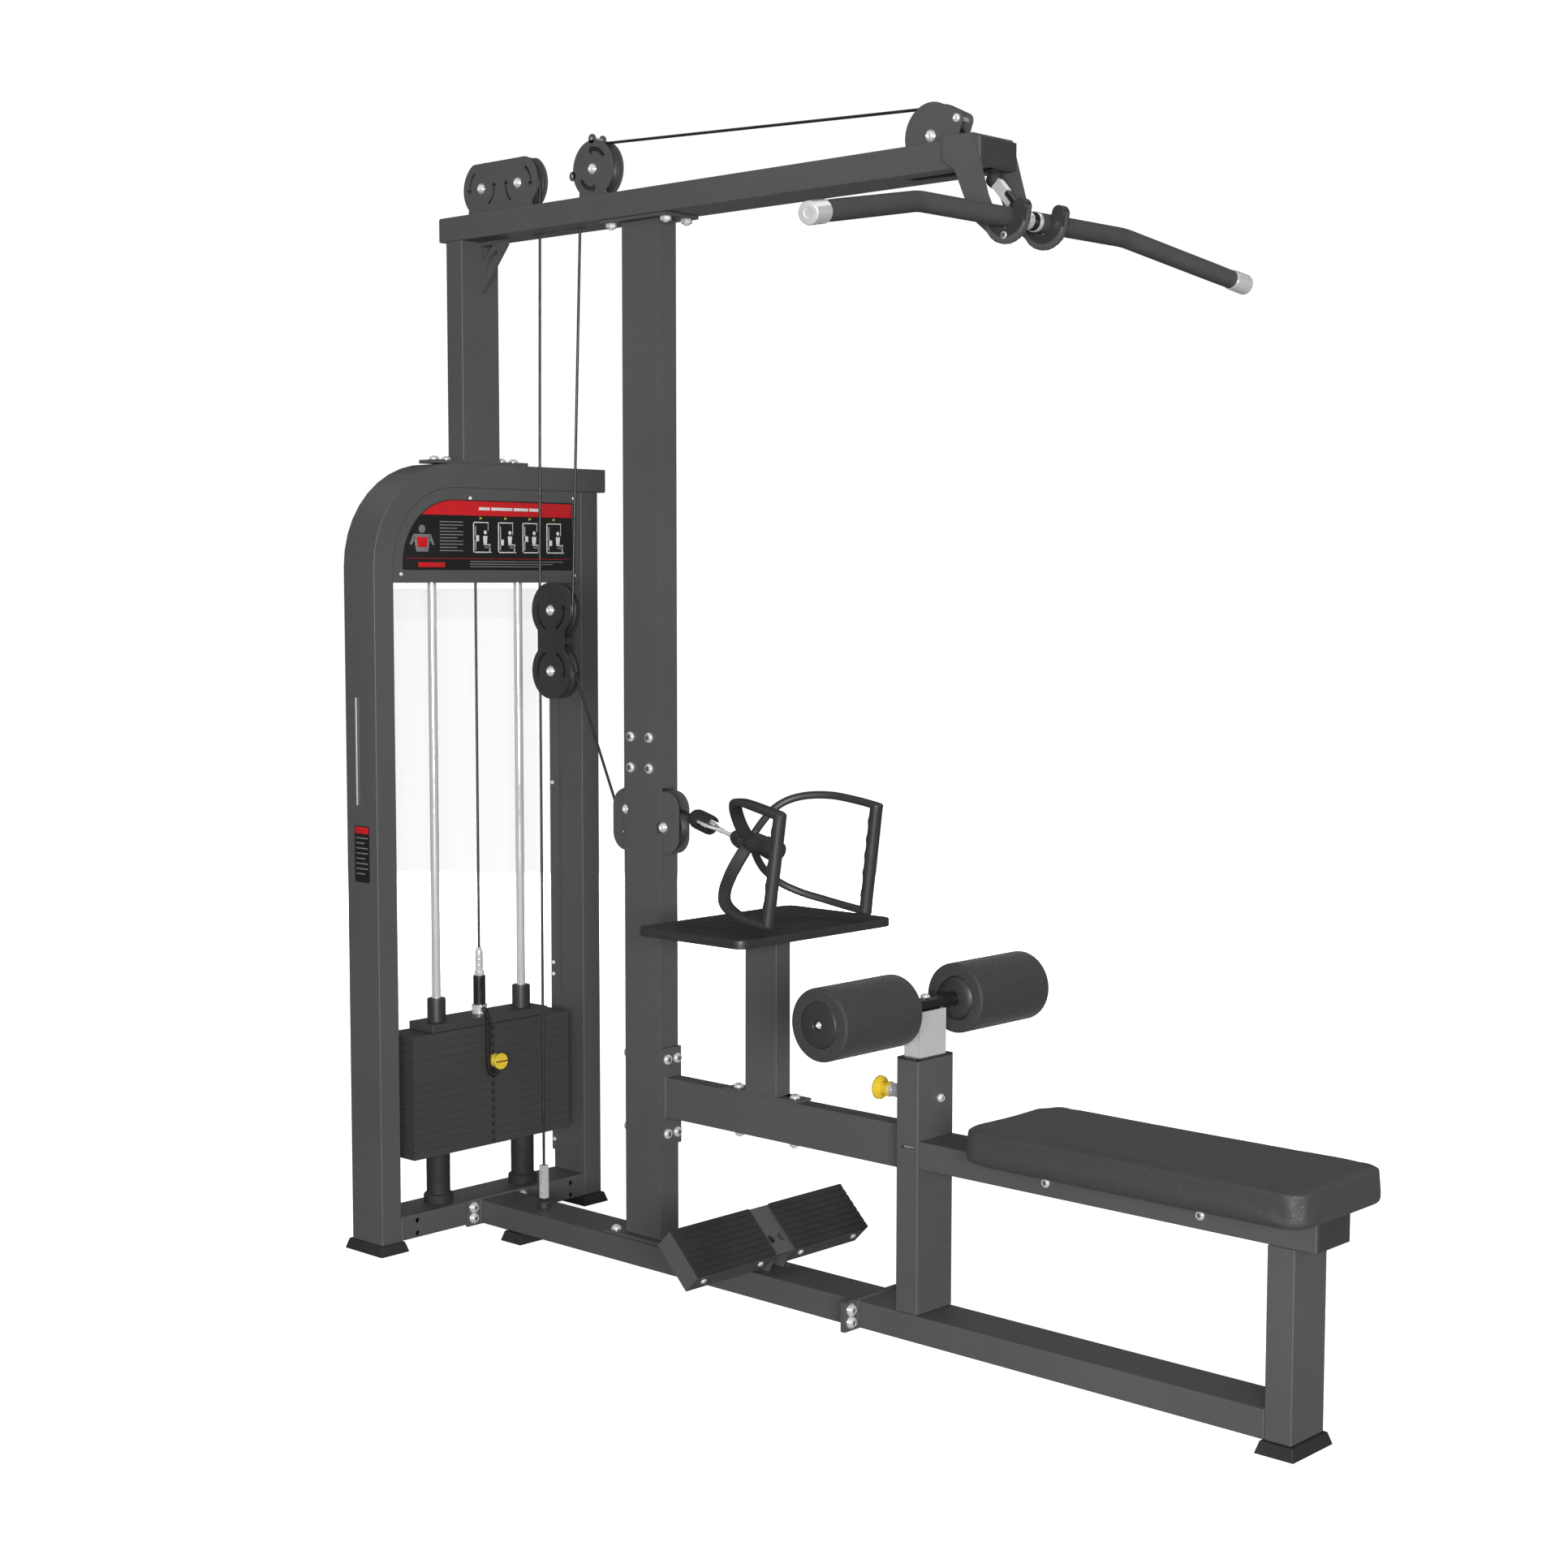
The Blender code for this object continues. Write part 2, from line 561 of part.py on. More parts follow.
def weights():
    stack_block("resting_plates", RESTING, STACK_BOTTOM)
    split = STACK_BOTTOM + RESTING * PLATE_PITCH
    chosen = stack_block("selected_plates", SELECTED, split)
    set_origin(chosen, (ROD_X, 0, split))
    head_z = (split + SELECTED * PLATE_PITCH, split + (SELECTED + 1) * PLATE_PITCH - GAP)
    head = box("head_plate", (0.010, 0.090), (-0.160, 0.160), head_z, "stack_paint")
    for y in (-ROD_Y, ROD_Y):
        join(head, rod("rod_collar", (ROD_X, y, head_z[1] - 0.001), (ROD_X, y, 0.5092), 0.0195, sides=20))
        cut(head, rod("collar_bore", (ROD_X, y, head_z[0] - 0.01), (ROD_X, y, 0.52), 0.0098))
    stem = [(0, 0.604), (0.008, 0.604), (0.008, 0.553), (0.010, 0.553), (0.010, 0.5433),
            (0.013, 0.5433), (0.013, 0.4803), (0.0165, 0.4803), (0.0165, head_z[0] + 0.002),
            (0.012, head_z[0] + 0.002), (0.012, STACK_BOTTOM + 0.004), (0, STACK_BOTTOM + 0.004)]
    stem_part = turned("cable_stem", stem, (ROD_X, 0, 0), (0, 0, 1), "chrome", 16)
    low = STACK_BOTTOM + PLATE_PITCH / 2
    holes = rod("stem_pin_hole", (ROD_X - 0.03, 0, low), (ROD_X + 0.03, 0, low), 0.0055, sides=10)
    cut(stem_part, repeat(holes, RESTING + SELECTED, (0, 0, PLATE_PITCH)))
    join(head, stem_part)
    cut(head, rod("head_pin_hole", (ROD_X + 0.02, 0, sum(head_z) / 2), (0.10, 0, sum(head_z) / 2), 0.0055,
                  sides=10))
    set_origin(head, (ROD_X, 0, head_z[0]))
    pin_z = split + PLATE_PITCH / 2
    front = STACK_X[1] + GAP
    pin = [(0, 0.122), (0.0175, 0.122), (0.0175, 0.1145), (0.0105, 0.1135), (0.0105, 0.1085),
           (0.013, 0.1075), (0.013, front), (0.0045, front), (0.0045, 0.0370), (0, 0.0370)]
    turned("selector_pin", pin, (0, 0, pin_z), (1, 0, 0), "yellow", 20)


def lanyard():
    """The curly lanyard from the stem's clamp to the selector pin, as one tube of its outer diameter."""
    route = [(0.0745, -0.010, 0.4720), (0.0800, -0.0135, 0.4740), (0.0870, -0.0165, 0.4735),
             (0.0945, -0.0185, 0.4690), (0.1000, -0.0200, 0.4610), (0.1020, -0.0210, 0.4480),
             (0.1025, -0.0215, 0.4330), (0.1025, -0.0220, 0.4170), (0.1025, -0.0220, 0.4000),
             (0.1025, -0.0220, 0.3830), (0.1025, -0.0215, 0.3670), (0.1025, -0.0200, 0.3520),
             (0.1028, -0.0160, 0.3410), (0.1032, -0.0090, 0.3360), (0.1035, -0.0020, 0.3375),
             (0.1040, 0.0035, 0.3440)]
    tube("pin_lanyard", route, 0.0062, "cable")


# ---- cables and pulleys -------------------------------------------------------------------------
def pulley(name, centre, pitch):
    """A grooved plastic wheel turning on its bolt."""
    rim, floor, half = pitch + RIM, pitch - CABLE_R - 0.0006, 0.009
    profile = [(0.0060, half), (0.018, half), (0.018, 0.0075), (rim, 0.0075), (floor, 0.0032),
               (floor, -0.0032), (rim, -0.0075), (0.018, -0.0075), (0.018, -half), (0.0060, -half)]
    made = turned(name, profile, (0, 0, 0), (0, 1, 0), "plastic", 28, True)
    made.location = (centre[0], 0, centre[1])
    return made


def housing(name, outline, axles, extra=()):
    """Two cover plates held apart by the pulleys' bolts, and by spacers where extra names them."""
    made = prism(name, outline, "XZ", PLATE_Y[0], PLATE_Y[1], "plastic")
    join(made, prism(name + "_left", outline, "XZ", -PLATE_Y[1], -PLATE_Y[0], "plastic"))
    for x, z in axles:
        join(made, rod(name + "_axle", (x, -0.0150, z), (x, 0.0150, z), 0.005, "chrome"))
        for side in (-1, 1):
            join(made, bolt(name + "_head", (x, side * PLATE_Y[1], z), (0, side, 0), 0.0095, 0.005))
    for x, z in extra:
        join(made, rod(name + "_spacer", (x, -0.0150, z), (x, 0.0150, z), 0.004, "chrome", 12))
    return made


def pulleys():
    wheels = {"pulley_top_rear": TOP_REAR, "pulley_top_front": TOP_FRONT, "pulley_mid": MID,
              "pulley_front": FRONT, "pulley_carriage_upper": CARRIAGE_UP,
              "pulley_carriage_lower": CARRIAGE_LOW, "pulley_column_rear": COLUMN_REAR,
              "pulley_column_front": COLUMN_FRONT}
    for name, centre in wheels.items():
        pulley(name, centre, SMALL_PITCH_R if "column" in name else PITCH_R)
    floor = BOOM_TOP + GAP

    def standing(circles, left, right):
        """A belt round the circles that stands on the boom with a straight foot."""
        points = [p for p in hull(*circles) if p[1] > floor + 0.012]
        middle = sum(p[0] for p in points) / len(points)
        points.sort(key=lambda p: math.atan2(p[1] - floor, p[0] - middle))
        return [(left, floor), (right, floor)] + points

    housing("top_pulley_housing", standing([(*TOP_REAR, PLATE_R), (*TOP_FRONT, PLATE_R)], 0.056, 0.258),
            (TOP_REAR, TOP_FRONT))
    middle = housing("mid_pulley_housing", standing([(*MID, PLATE_R)], MID[0] - 0.043, MID[0] + 0.043), (MID,))
    for turn in (92, 188):
        (x, z), = arc(MID, PLATE_R + 0.002, turn, turn, 1)[:1]
        outline = arc((x, z), 0.0095, 0, 345, 23)
        for side in (-1, 1):
            faces = sorted((side * PLATE_Y[0], side * PLATE_Y[1]))
            join(middle, prism("housing_ear", outline, "XZ", *faces, "plastic",
                               holes=[arc((x, z), 0.0035, 0, 330, 11)]))
    housing("front_pulley_housing", hull((*FRONT, PLATE_R), (1.3640, 2.1820, 0.013)), (FRONT,),
            [(1.3650, 2.1835)])
    housing("column_pulley_housing", rounded((0.4885, 0.6730), (0.8516, 0.9756), 0.036), (COLUMN_REAR, COLUMN_FRONT))
    angle = math.degrees(math.asin(0.0395 / PLATE_R))
    upper = arc(CARRIAGE_UP, PLATE_R, -90 + angle, 270 - angle, 26)
    lower = arc(CARRIAGE_LOW, PLATE_R, 90 + angle, 450 - angle, 26)
    carriage = housing("carriage_frame", upper + lower, (CARRIAGE_UP, CARRIAGE_LOW))
    middle = (CARRIAGE_UP[1] + CARRIAGE_LOW[1]) / 2
    join(carriage, box("carriage_web", (0.2700, 0.3380), (-0.013, 0.013), (middle - 0.007, middle + 0.007)))
    set_origin(carriage, (CARRIAGE_UP[0], 0, CARRIAGE_UP[1]))


def cables():
    lat = belt((ROD_X, 0.604 + GAP),
               [(TOP_REAR, -1, PITCH_R), (TOP_FRONT, -1, PITCH_R), (CARRIAGE_UP, 1, PITCH_R),
                (MID, -1, PITCH_R), (FRONT, -1, PITCH_R)],
               LAT_END)
    tube("lat_cable", [(x, 0, z) for x, z in lat], CABLE_R, "cable", 1)
    row = belt((0.254, 0.1633),
               [(CARRIAGE_LOW, -1, PITCH_R), (COLUMN_REAR, 1, SMALL_PITCH_R), (COLUMN_FRONT, -1, SMALL_PITCH_R)],
               ROW_END)
    tube("row_cable", [(x, 0, z) for x, z in row], CABLE_R, "cable", 1)
    anchor = box("row_cable_anchor", (0.246, 0.262), (-0.007, 0.007), (BASE_TOP + GAP, 0.163), "chrome")
    join(anchor, rod("anchor_base", (0.254, 0, BASE_TOP + GAP), (0.254, 0, 0.086), 0.014, "plastic"))


# ---- lat bar and its holder ---------------------------------------------------------------------
def bar_holder():
    """A saddle over the boom whose two arms end in upward hooks under the lat bar."""
    x, z = BAR
    z = z + 0.001
    outer = arc((x, z), 0.046, -150, 0, 9)
    tip = arc((x + 0.034, z + 0.012), 0.012, 0, 180, 6)
    inner = arc((x, z), 0.020, 30, -170, 12)
    hook = [(1.360, BOOM_TOP + 0.0052), (1.360, 2.105), (1.386, 2.088), (1.424, 2.003)] + outer + tip + inner
    hook += [(1.456, 2.040), (1.4365, 2.105), (1.424, BOOM_TOP + 0.0052)]
    low, high = TUBE + GAP, TUBE + 0.0065
    made = prism("bar_holder", hook, "XZ", low, high)
    join(made, prism("bar_holder_left", hook, "XZ", -high, -low),
         box("holder_bridge", (1.360, 1.424), (-high + 0.001, high - 0.001), (BOOM_TOP + GAP, BOOM_TOP + 0.0055)))
    cut(made, box("holder_slot", (1.350, 1.394), (-0.012, 0.012), (BOOM_TOP - 0.01, BOOM_TOP + 0.02)))
    pad_outer = arc((x, z), 0.043, -178, 0, 12)
    pad = pad_outer + [(x + 0.0430, z + 0.008)] + tip + inner + [(1.470, 2.008), (1.4545, 2.012)]
    for side in (-1, 1):
        span = sorted((side * (low - 0.006), side * (high + 0.006)))
        join(made, prism("hook_pad", pad, "XZ", *span, "plastic"))
        join(made, bolt("hook_screw", (1.498, side * (high + 0.006), 1.967), (0, side, 0), 0.006, 0.003))


def lat_bar():
    x, z = BAR
    ends = Vector(BAR_END)
    bend = Vector((x, BAR_BEND_Y, z))
    path = filleted([(*(ends[0:1]), -ends[1], ends[2]), (x, -BAR_BEND_Y, z), (x, BAR_BEND_Y, z), tuple(ends)],
                    0.12, 6)
    made = tube("lat_bar", path, CORE_R, "chrome", 2)
    slope = (ends - bend).normalized()
    for side in (-1, 1):
        mirror = Vector((1, side, 1))
        inner_end = (ends - slope * 0.042) * mirror
        join(made, rod("bar_cap", inner_end, (ends + slope * 0.0005) * mirror, 0.0185, "chrome", 20))
        join(made, rod("bar_ring", (x, side * 0.020, z), (x, side * 0.028, z), 0.0175, "chrome", 20))
        start = Vector((x, side * (0.028 + GAP), z))
        stop = (ends - slope * (0.042 + GAP)) * mirror
        grip_path = filleted([start, (x, side * BAR_BEND_Y, z), stop], 0.12, 6)
        grip = tube("lat_grip_" + ("left" if side < 0 else "right"), grip_path, GRIP_R, "rubber", 2)
        over = [start + (start - grip_path[1]).normalized() * 0.01, *grip_path[1:-1],
                stop + (stop - grip_path[-2]).normalized() * 0.01]
        cut(grip, tube("grip_bore", over, CORE_R + 0.0006, "rubber", 2))
        set_origin(grip, (x, 0, z))
    link = link_axis()
    join(made, rod("bar_lug", (x, 0, z), Vector((x, 0, z)) - link * 0.040, 0.0085, "chrome", 12))
    set_origin(made, (x, 0, z))


def link_axis():
    """The direction from the cable's end to the middle of the bar."""
    return (Vector((BAR[0], 0, BAR[1])) - Vector((LAT_END[0], 0, LAT_END[1]))).normalized()


def lat_link():
    axis = link_axis()
    start = Vector((LAT_END[0], 0, LAT_END[1])) + axis * 0.001
    finish = Vector((BAR[0], 0, BAR[1])) - axis * (0.040 + GAP)
    made = turned("lat_link", [(0, 0.030), (0.013, 0.030), (0.0165, 0.022), (0.0165, 0.010), (0.008, 0), (0, 0)],
                  start, axis, "rubber", 20)
    join(made, rod("link_bar", start + axis * 0.028, finish, 0.007, "chrome", 12))
    set_origin(made, start)


# ---- seat, tray and footrest --------------------------------------------------------------------
def seat_pad():
    made = prism("seat_pad", rounded(PAD_X, (-PAD_HALF, PAD_HALF), 0.042, 6), "XY", *PAD_Z, "vinyl")
    bevel = made.modifiers.new("soft_edges", "BEVEL")
    bevel.width = 0.018
    bevel.segments = 3
    bevel.limit_method = "ANGLE"
    bevel.angle_limit = math.radians(60)


def tray():
    post = hollow("tray_post", (0.8577, 0.9392), (-0.020, 0.020), (RAIL_Z[1] + GAP, TRAY_Z[0] - GAP), "z")
    join(post, box("tray_post_foot", (0.800, 0.992), (-0.0215, 0.0215), (RAIL_Z[1] + GAP, RAIL_Z[1] + 0.005)))
    for x in (0.822, 0.970):
        join(post, bolt("tray_post_bolt", (x, 0, RAIL_Z[1] + 0.005), (0, 0, 1)))
    prism("tray", rounded(TRAY_X, (-0.214, 0.214), 0.022, 4), "XY", *TRAY_Z, "plastic")


def footrest():
    """An inclined box section across the base beam, with a ribbed rubber tread on each half."""
    top = Vector((0.8755, 0, 0.1865))
    turn = Matrix.Translation(top) @ Matrix.Rotation(math.radians(45), 4, "Y")
    length, depth, half, tread = 0.105, 0.050, 0.238, 0.0055

    def slanted(name, x, y, z, finish="paint"):
        made = box(name, x, y, z, finish)
        made.data.transform(turn)
        return made

    frame = slanted("footrest_frame", (0, length), (-half, half), (-depth, -tread - GAP))
    cut(frame, slanted("footrest_bore", (WALL, length - WALL), (-half + WALL, half - WALL),
                       (-depth - 0.01, -tread - GAP - WALL)),
        slanted("footrest_gap", (length - 0.010, length + 0.01), (-0.024, 0.024), (-depth - 0.01, -0.012)))
    for y in (-0.0135, 0.0135):
        hole = rod("strap_hole", (0.071, y, -0.02), (0.071, y, 0.01), 0.0085)
        hole.data.transform(turn)
        cut(frame, hole)
    bracket = [(0.862, BASE_TOP + GAP), (0.925, BASE_TOP + GAP), (0.9400, 0.1130), (0.870, 0.1800)]
    join(frame, prism("footrest_bracket", bracket, "XZ", -0.0225, -0.0180),
         prism("footrest_bracket", bracket, "XZ", 0.0180, 0.0225))
    for y in (-0.2107, -0.0566, 0.0566, 0.2107):
        head = bolt("footrest_bolt", (length, y, -0.024), (1, 0, 0), 0.006, 0.004)
        head.data.transform(turn)
        join(frame, head)
    for side, name in ((-1, "footrest_tread_left"), (1, "footrest_tread_right")):
        span = sorted((side * 0.029, side * half))
        made = slanted(name, (0, length), span, (-tread, 0), "rubber")
        groove = slanted(name + "_groove", (0.0125, 0.0137), (span[0] - 0.01, span[1] + 0.01), (-0.0012, 0.01))
        step = turn.to_3x3() @ Vector((0.01315, 0, 0))
        cut(made, repeat(groove, 7, step))


# ---- hold-down rollers --------------------------------------------------------------------------
def hold_down():
    x, z = ROLLER
    stem = hollow("hold_down_stem", (1.2690, 1.3060), (-0.037, 0.037), (0.220, z - 0.006), "z", "chrome")
    join(stem, rod("roller_shaft", (x, -0.284, z), (x, 0.284, z), 0.0125, "paint"),
         bolt("shaft_bolt", (x, 0, z + 0.0120), (0, 0, 1), 0.0085, 0.007))
    holes = rod("stem_hole", (1.26, 0, 0.303), (1.28, 0, 0.303), 0.0062, sides=12)
    cut(stem, repeat(holes, 9, (0, 0, 0.020)))
    set_origin(stem, (x, 0, z))
    low, high = ROLLER_Y
    length = high - low
    r = ROLLER_R
    profile = [(0, length), (0.036, length), (0.040, length - 0.004), (0.054, length - 0.004),
               (0.0615, length - 0.008), (r, length - 0.014), (r, 0.014), (0.0615, 0.008), (0.054, 0.004),
               (0.040, 0.004), (0.018, 0), (0.0145, 0), (0.0145, length - 0.0075), (0, length - 0.0075)]
    for side, name in ((-1, "roller_left"), (1, "roller_right")):
        made = turned(name, profile, (x, side * low, z), (0, side, 0), "foam", 24)
        set_origin(made, (x, 0, z))


def pop_pin():
    profile = [(0, 0.088), (0.022, 0.088), (0.022, 0.082), (0.0135, 0.078), (0.0135, 0.0613),
               (0.0055, 0.0613), (0.0055, 0.0002), (0, 0.0002)]
    turned("pop_pin", profile, (POST_X[0] + WALL, 0, 0.463), (-1, 0, 0), "yellow", 20)


# ---- row handle ---------------------------------------------------------------------------------
def row_handle():
    """Two D-shaped grips on a central hub."""
    hub = turned("row_handle",
                 [(0, 0.134), (0.012, 0.132), (0.021, 0.120), (0.022, 0.075), (0.018, 0.062), (0.022, 0.045),
                  (0.020, 0.025), (0.009, 0.002), (0, 0)], (0.8055, 0, 0.8990), (0.988, 0, -0.155), "plastic", 20)
    upper = ((0.872, 0.006, 0.893), (0.857, 0.030, 0.926), (0.868, 0.055, 0.954), (0.888, 0.077, 0.969),
             (0.915, 0.096, 0.978), (0.957, 0.118, 0.979), (1.010, 0.130, 0.972), (1.055, 0.1345, 0.9645))
    lower = ((1.0265, 0.1365, 0.7605), (0.970, 0.136, 0.767), (0.930, 0.127, 0.775), (0.889, 0.106, 0.787),
             (0.861, 0.078, 0.805), (0.848, 0.051, 0.828), (0.848, 0.030, 0.852), (0.872, 0.006, 0.884))
    for side in (-1, 1):
        top, bottom = ([(x, side * y, z) for x, y, z in half] for half in (upper, lower))
        join(hub, tube("handle_loop", smooth(top, 3) + smooth(bottom, 3), 0.0085, "plastic", 2))
        low, high = Vector(bottom[0]), Vector(top[-1])
        along = (high - low).normalized()
        join(hub, rod("handle_grip", low - along * 0.007, high + along * 0.008, 0.0150, "plastic", 16))
    set_origin(hub, (0.8055, 0, 0.8990))


def row_link():
    start, stop = Vector((ROW_END[0], 0, ROW_END[1])), Vector((0.7640, 0, 0.9000))
    axis = (stop - start).normalized()
    made = turned("row_link", [(0, 0.078), (0.013, 0.078), (0.0190, 0.072), (0.0190, 0.014), (0.006, 0), (0, 0)],
                  start + axis * 0.001, axis, "rubber", 20)
    join(made, rod("carabiner", start + axis * 0.070, (0.8050, 0, 0.8990), 0.006, "chrome", 12))
    set_origin(made, start)


def move_to_origin():
    for collection in (PARTS, CUTTERS):
        for shape in collection.objects:
            shape.location.x -= ORIGIN_X


def shade():
    for shape in PARTS.objects:
        shape.data.shade_smooth()
        shape.data.set_sharp_from_angle(angle=math.radians(35))


clear_scene()
tower()
shroud()
feet()
base_beams()
strut()
boom()
column()
seat_frame()
hold_down_post()
guides()
weights()
lanyard()
pulleys()
cables()
bar_holder()
lat_bar()
lat_link()
seat_pad()
tray()
footrest()
hold_down()
pop_pin()
row_handle()
row_link()
shade()
move_to_origin()
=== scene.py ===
"""The looks of a lat pulldown and low row machine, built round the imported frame.

Lengths are metres in the machine's own layout, X = 0 at the back of the weight tower; OX moves them
into the row frame.
"""

import json
import math

import bmesh
import bpy
from mathutils import Matrix, Vector

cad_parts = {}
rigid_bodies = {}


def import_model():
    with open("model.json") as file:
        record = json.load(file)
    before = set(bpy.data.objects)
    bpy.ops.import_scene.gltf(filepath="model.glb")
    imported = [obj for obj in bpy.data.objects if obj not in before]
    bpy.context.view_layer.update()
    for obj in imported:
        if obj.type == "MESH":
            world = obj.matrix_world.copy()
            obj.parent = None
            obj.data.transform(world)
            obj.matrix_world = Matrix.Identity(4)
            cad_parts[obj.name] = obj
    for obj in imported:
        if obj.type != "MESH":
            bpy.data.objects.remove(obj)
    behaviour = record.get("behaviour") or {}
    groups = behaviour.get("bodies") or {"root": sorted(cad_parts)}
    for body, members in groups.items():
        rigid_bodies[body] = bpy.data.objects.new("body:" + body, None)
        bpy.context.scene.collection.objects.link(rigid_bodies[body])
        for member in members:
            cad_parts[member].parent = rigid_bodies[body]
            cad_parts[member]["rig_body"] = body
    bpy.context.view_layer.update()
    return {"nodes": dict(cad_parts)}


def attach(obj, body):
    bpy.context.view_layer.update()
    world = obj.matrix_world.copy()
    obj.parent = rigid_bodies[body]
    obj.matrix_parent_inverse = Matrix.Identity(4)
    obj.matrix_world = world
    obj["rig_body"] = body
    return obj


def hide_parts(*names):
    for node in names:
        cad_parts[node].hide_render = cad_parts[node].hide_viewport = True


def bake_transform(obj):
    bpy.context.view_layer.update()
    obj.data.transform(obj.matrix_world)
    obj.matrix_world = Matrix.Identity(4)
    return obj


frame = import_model()
OX = 1.058
NODES = frame["nodes"]

# ---- camera, floor and light --------------------------------------------------------------------
YAW, PITCH, ROLL = math.radians(42.70990), math.radians(4.857776), 0.0010923635
CAMERA_PLACE = (4.0257081 - OX, -3.3423576, 1.3938708)
FOCAL_PIXELS, PHOTO_PIXELS, SENSOR = 2986.0488, 1932, 36


def add_object(name, data):
    made = bpy.data.objects.new(name, data)
    bpy.context.scene.collection.objects.link(made)
    return made


def camera():
    ahead = Vector((-math.sin(YAW) * math.cos(PITCH), math.cos(YAW) * math.cos(PITCH), -math.sin(PITCH)))
    right = Vector((math.cos(YAW), math.sin(YAW), 0))
    turn = Matrix((right, right.cross(ahead), -ahead)).transposed().to_4x4()
    data = bpy.data.cameras.new("camera")
    data.sensor_width = SENSOR
    data.lens = FOCAL_PIXELS * SENSOR / PHOTO_PIXELS
    made = add_object("camera", data)
    made.matrix_world = Matrix.Translation(CAMERA_PLACE) @ turn @ Matrix.Rotation(ROLL, 4, "Z")
    bpy.context.scene.camera = made


def area_light(name, place, target, size, power, mirrored=True):
    data = bpy.data.lights.new(name, "AREA")
    data.shape = "RECTANGLE"
    data.size, data.size_y = size
    data.energy = power
    made = add_object(name, data)
    made.location = place
    made.rotation_mode = "QUATERNION"
    made.rotation_quaternion = (Vector(target) - Vector(place)).to_track_quat("-Z", "Y")
    made.visible_glossy = mirrored


def shader_node(tree, kind, settings=None, **inputs):
    """A node's first output. Inputs are numbers or the outputs that feed them; _1 is the input of index 1."""
    made = tree.nodes.new("ShaderNode" + kind)
    for key, value in (settings or {}).items():
        setattr(made, key, value)
    for key, value in inputs.items():
        socket = made.inputs[int(key[1:]) if key[1:].isdigit() else key.replace("_", " ")]
        if isinstance(value, bpy.types.NodeSocket):
            tree.links.new(value, socket)
        else:
            socket.default_value = value
    return made.outputs[0]


def sky():
    """White behind the machine; for light, a bright horizon and a dim top.

    Reflections also see dark flags at the sides and ahead, and a bright ring overhead that lights the edges.
    """
    world = bpy.data.worlds.new("studio")
    bpy.context.scene.world = world
    world.use_nodes = True
    tree = world.node_tree

    def add(kind, settings=None, **inputs):
        return shader_node(tree, kind, settings, **inputs)

    def calculate(operation, *values):
        return add("Math", {"operation": operation}, **{"_%d" % i: v for i, v in enumerate(values)})

    def towards(direction):
        return add("VectorMath", {"operation": "DOT_PRODUCT"}, _0=way, _1=direction).node.outputs["Value"]

    def flag(value, start, stop, depth):
        return add("MapRange", {"interpolation_type": "SMOOTHSTEP"}, Value=value, From_Min=start, From_Max=stop,
                   To_Min=0.0, To_Max=depth)

    white = tree.nodes["Background"]
    white.inputs["Color"].default_value = (1, 1, 1, 1)
    white.inputs["Strength"].default_value = 1.02
    way = add("TexCoord")
    height = add("SeparateXYZ", _0=way).node.outputs["Z"]
    ramp = add("ValToRGB", Fac=add("MapRange", Value=height, From_Min=-1))
    stops = ramp.node.color_ramp.elements
    stops.new(0.68)
    for stop, place, value in zip(stops, (0.48, 0.68, 1.0), (0.92, 0.36, 0.06)):
        stop.position, stop.color = place, (value, value, value, 1)
    sides = calculate("ABSOLUTE", towards((math.cos(YAW), math.sin(YAW), 0)))
    ahead = towards((-math.sin(YAW), math.cos(YAW), 0))
    flags = calculate("MAXIMUM", flag(sides, 0.66, 0.84, 0.80), flag(ahead, 0.62, 0.80, 0.96))
    path = add("LightPath").node.outputs
    dark = add("MixRGB", Fac=calculate("MULTIPLY", flags, path["Is Glossy Ray"]), Color1=ramp,
               Color2=(0.02, 0.02, 0.02, 1))
    ring = calculate("SUBTRACT", flag(height, 0.50, 0.66, 3.2), flag(height, 0.78, 0.92, 3.2))
    around = add("Background", Color=dark,
                 Strength=calculate("MULTIPLY_ADD", ring, path["Is Glossy Ray"], 1.0))
    mix = add("MixShader", Fac=path["Is Camera Ray"], _1=around, _2=white.outputs[0])
    tree.links.new(mix, tree.nodes["World Output"].inputs["Surface"])


def studio():
    bpy.context.scene.view_settings.view_transform = "Standard"
    sky()
    mesh = bpy.data.meshes.new("floor")
    mesh.from_pydata([(-60, -60, 0), (60, -60, 0), (60, 60, 0), (-60, 60, 0)], [], [(0, 1, 2, 3)])
    floor = add_object("floor", mesh)
    floor.location = (0, 0, -0.0005)
    mesh.materials.append(MAT["floor"])
    area_light("key", (5.4, -5.6, 1.5), (0.2, 0, 0.9), (4.5, 2.2), 640)
    area_light("back", (-4.5, 5.2, 1.4), (0, 0, 1.0), (4.0, 2.0), 360, mirrored=False)


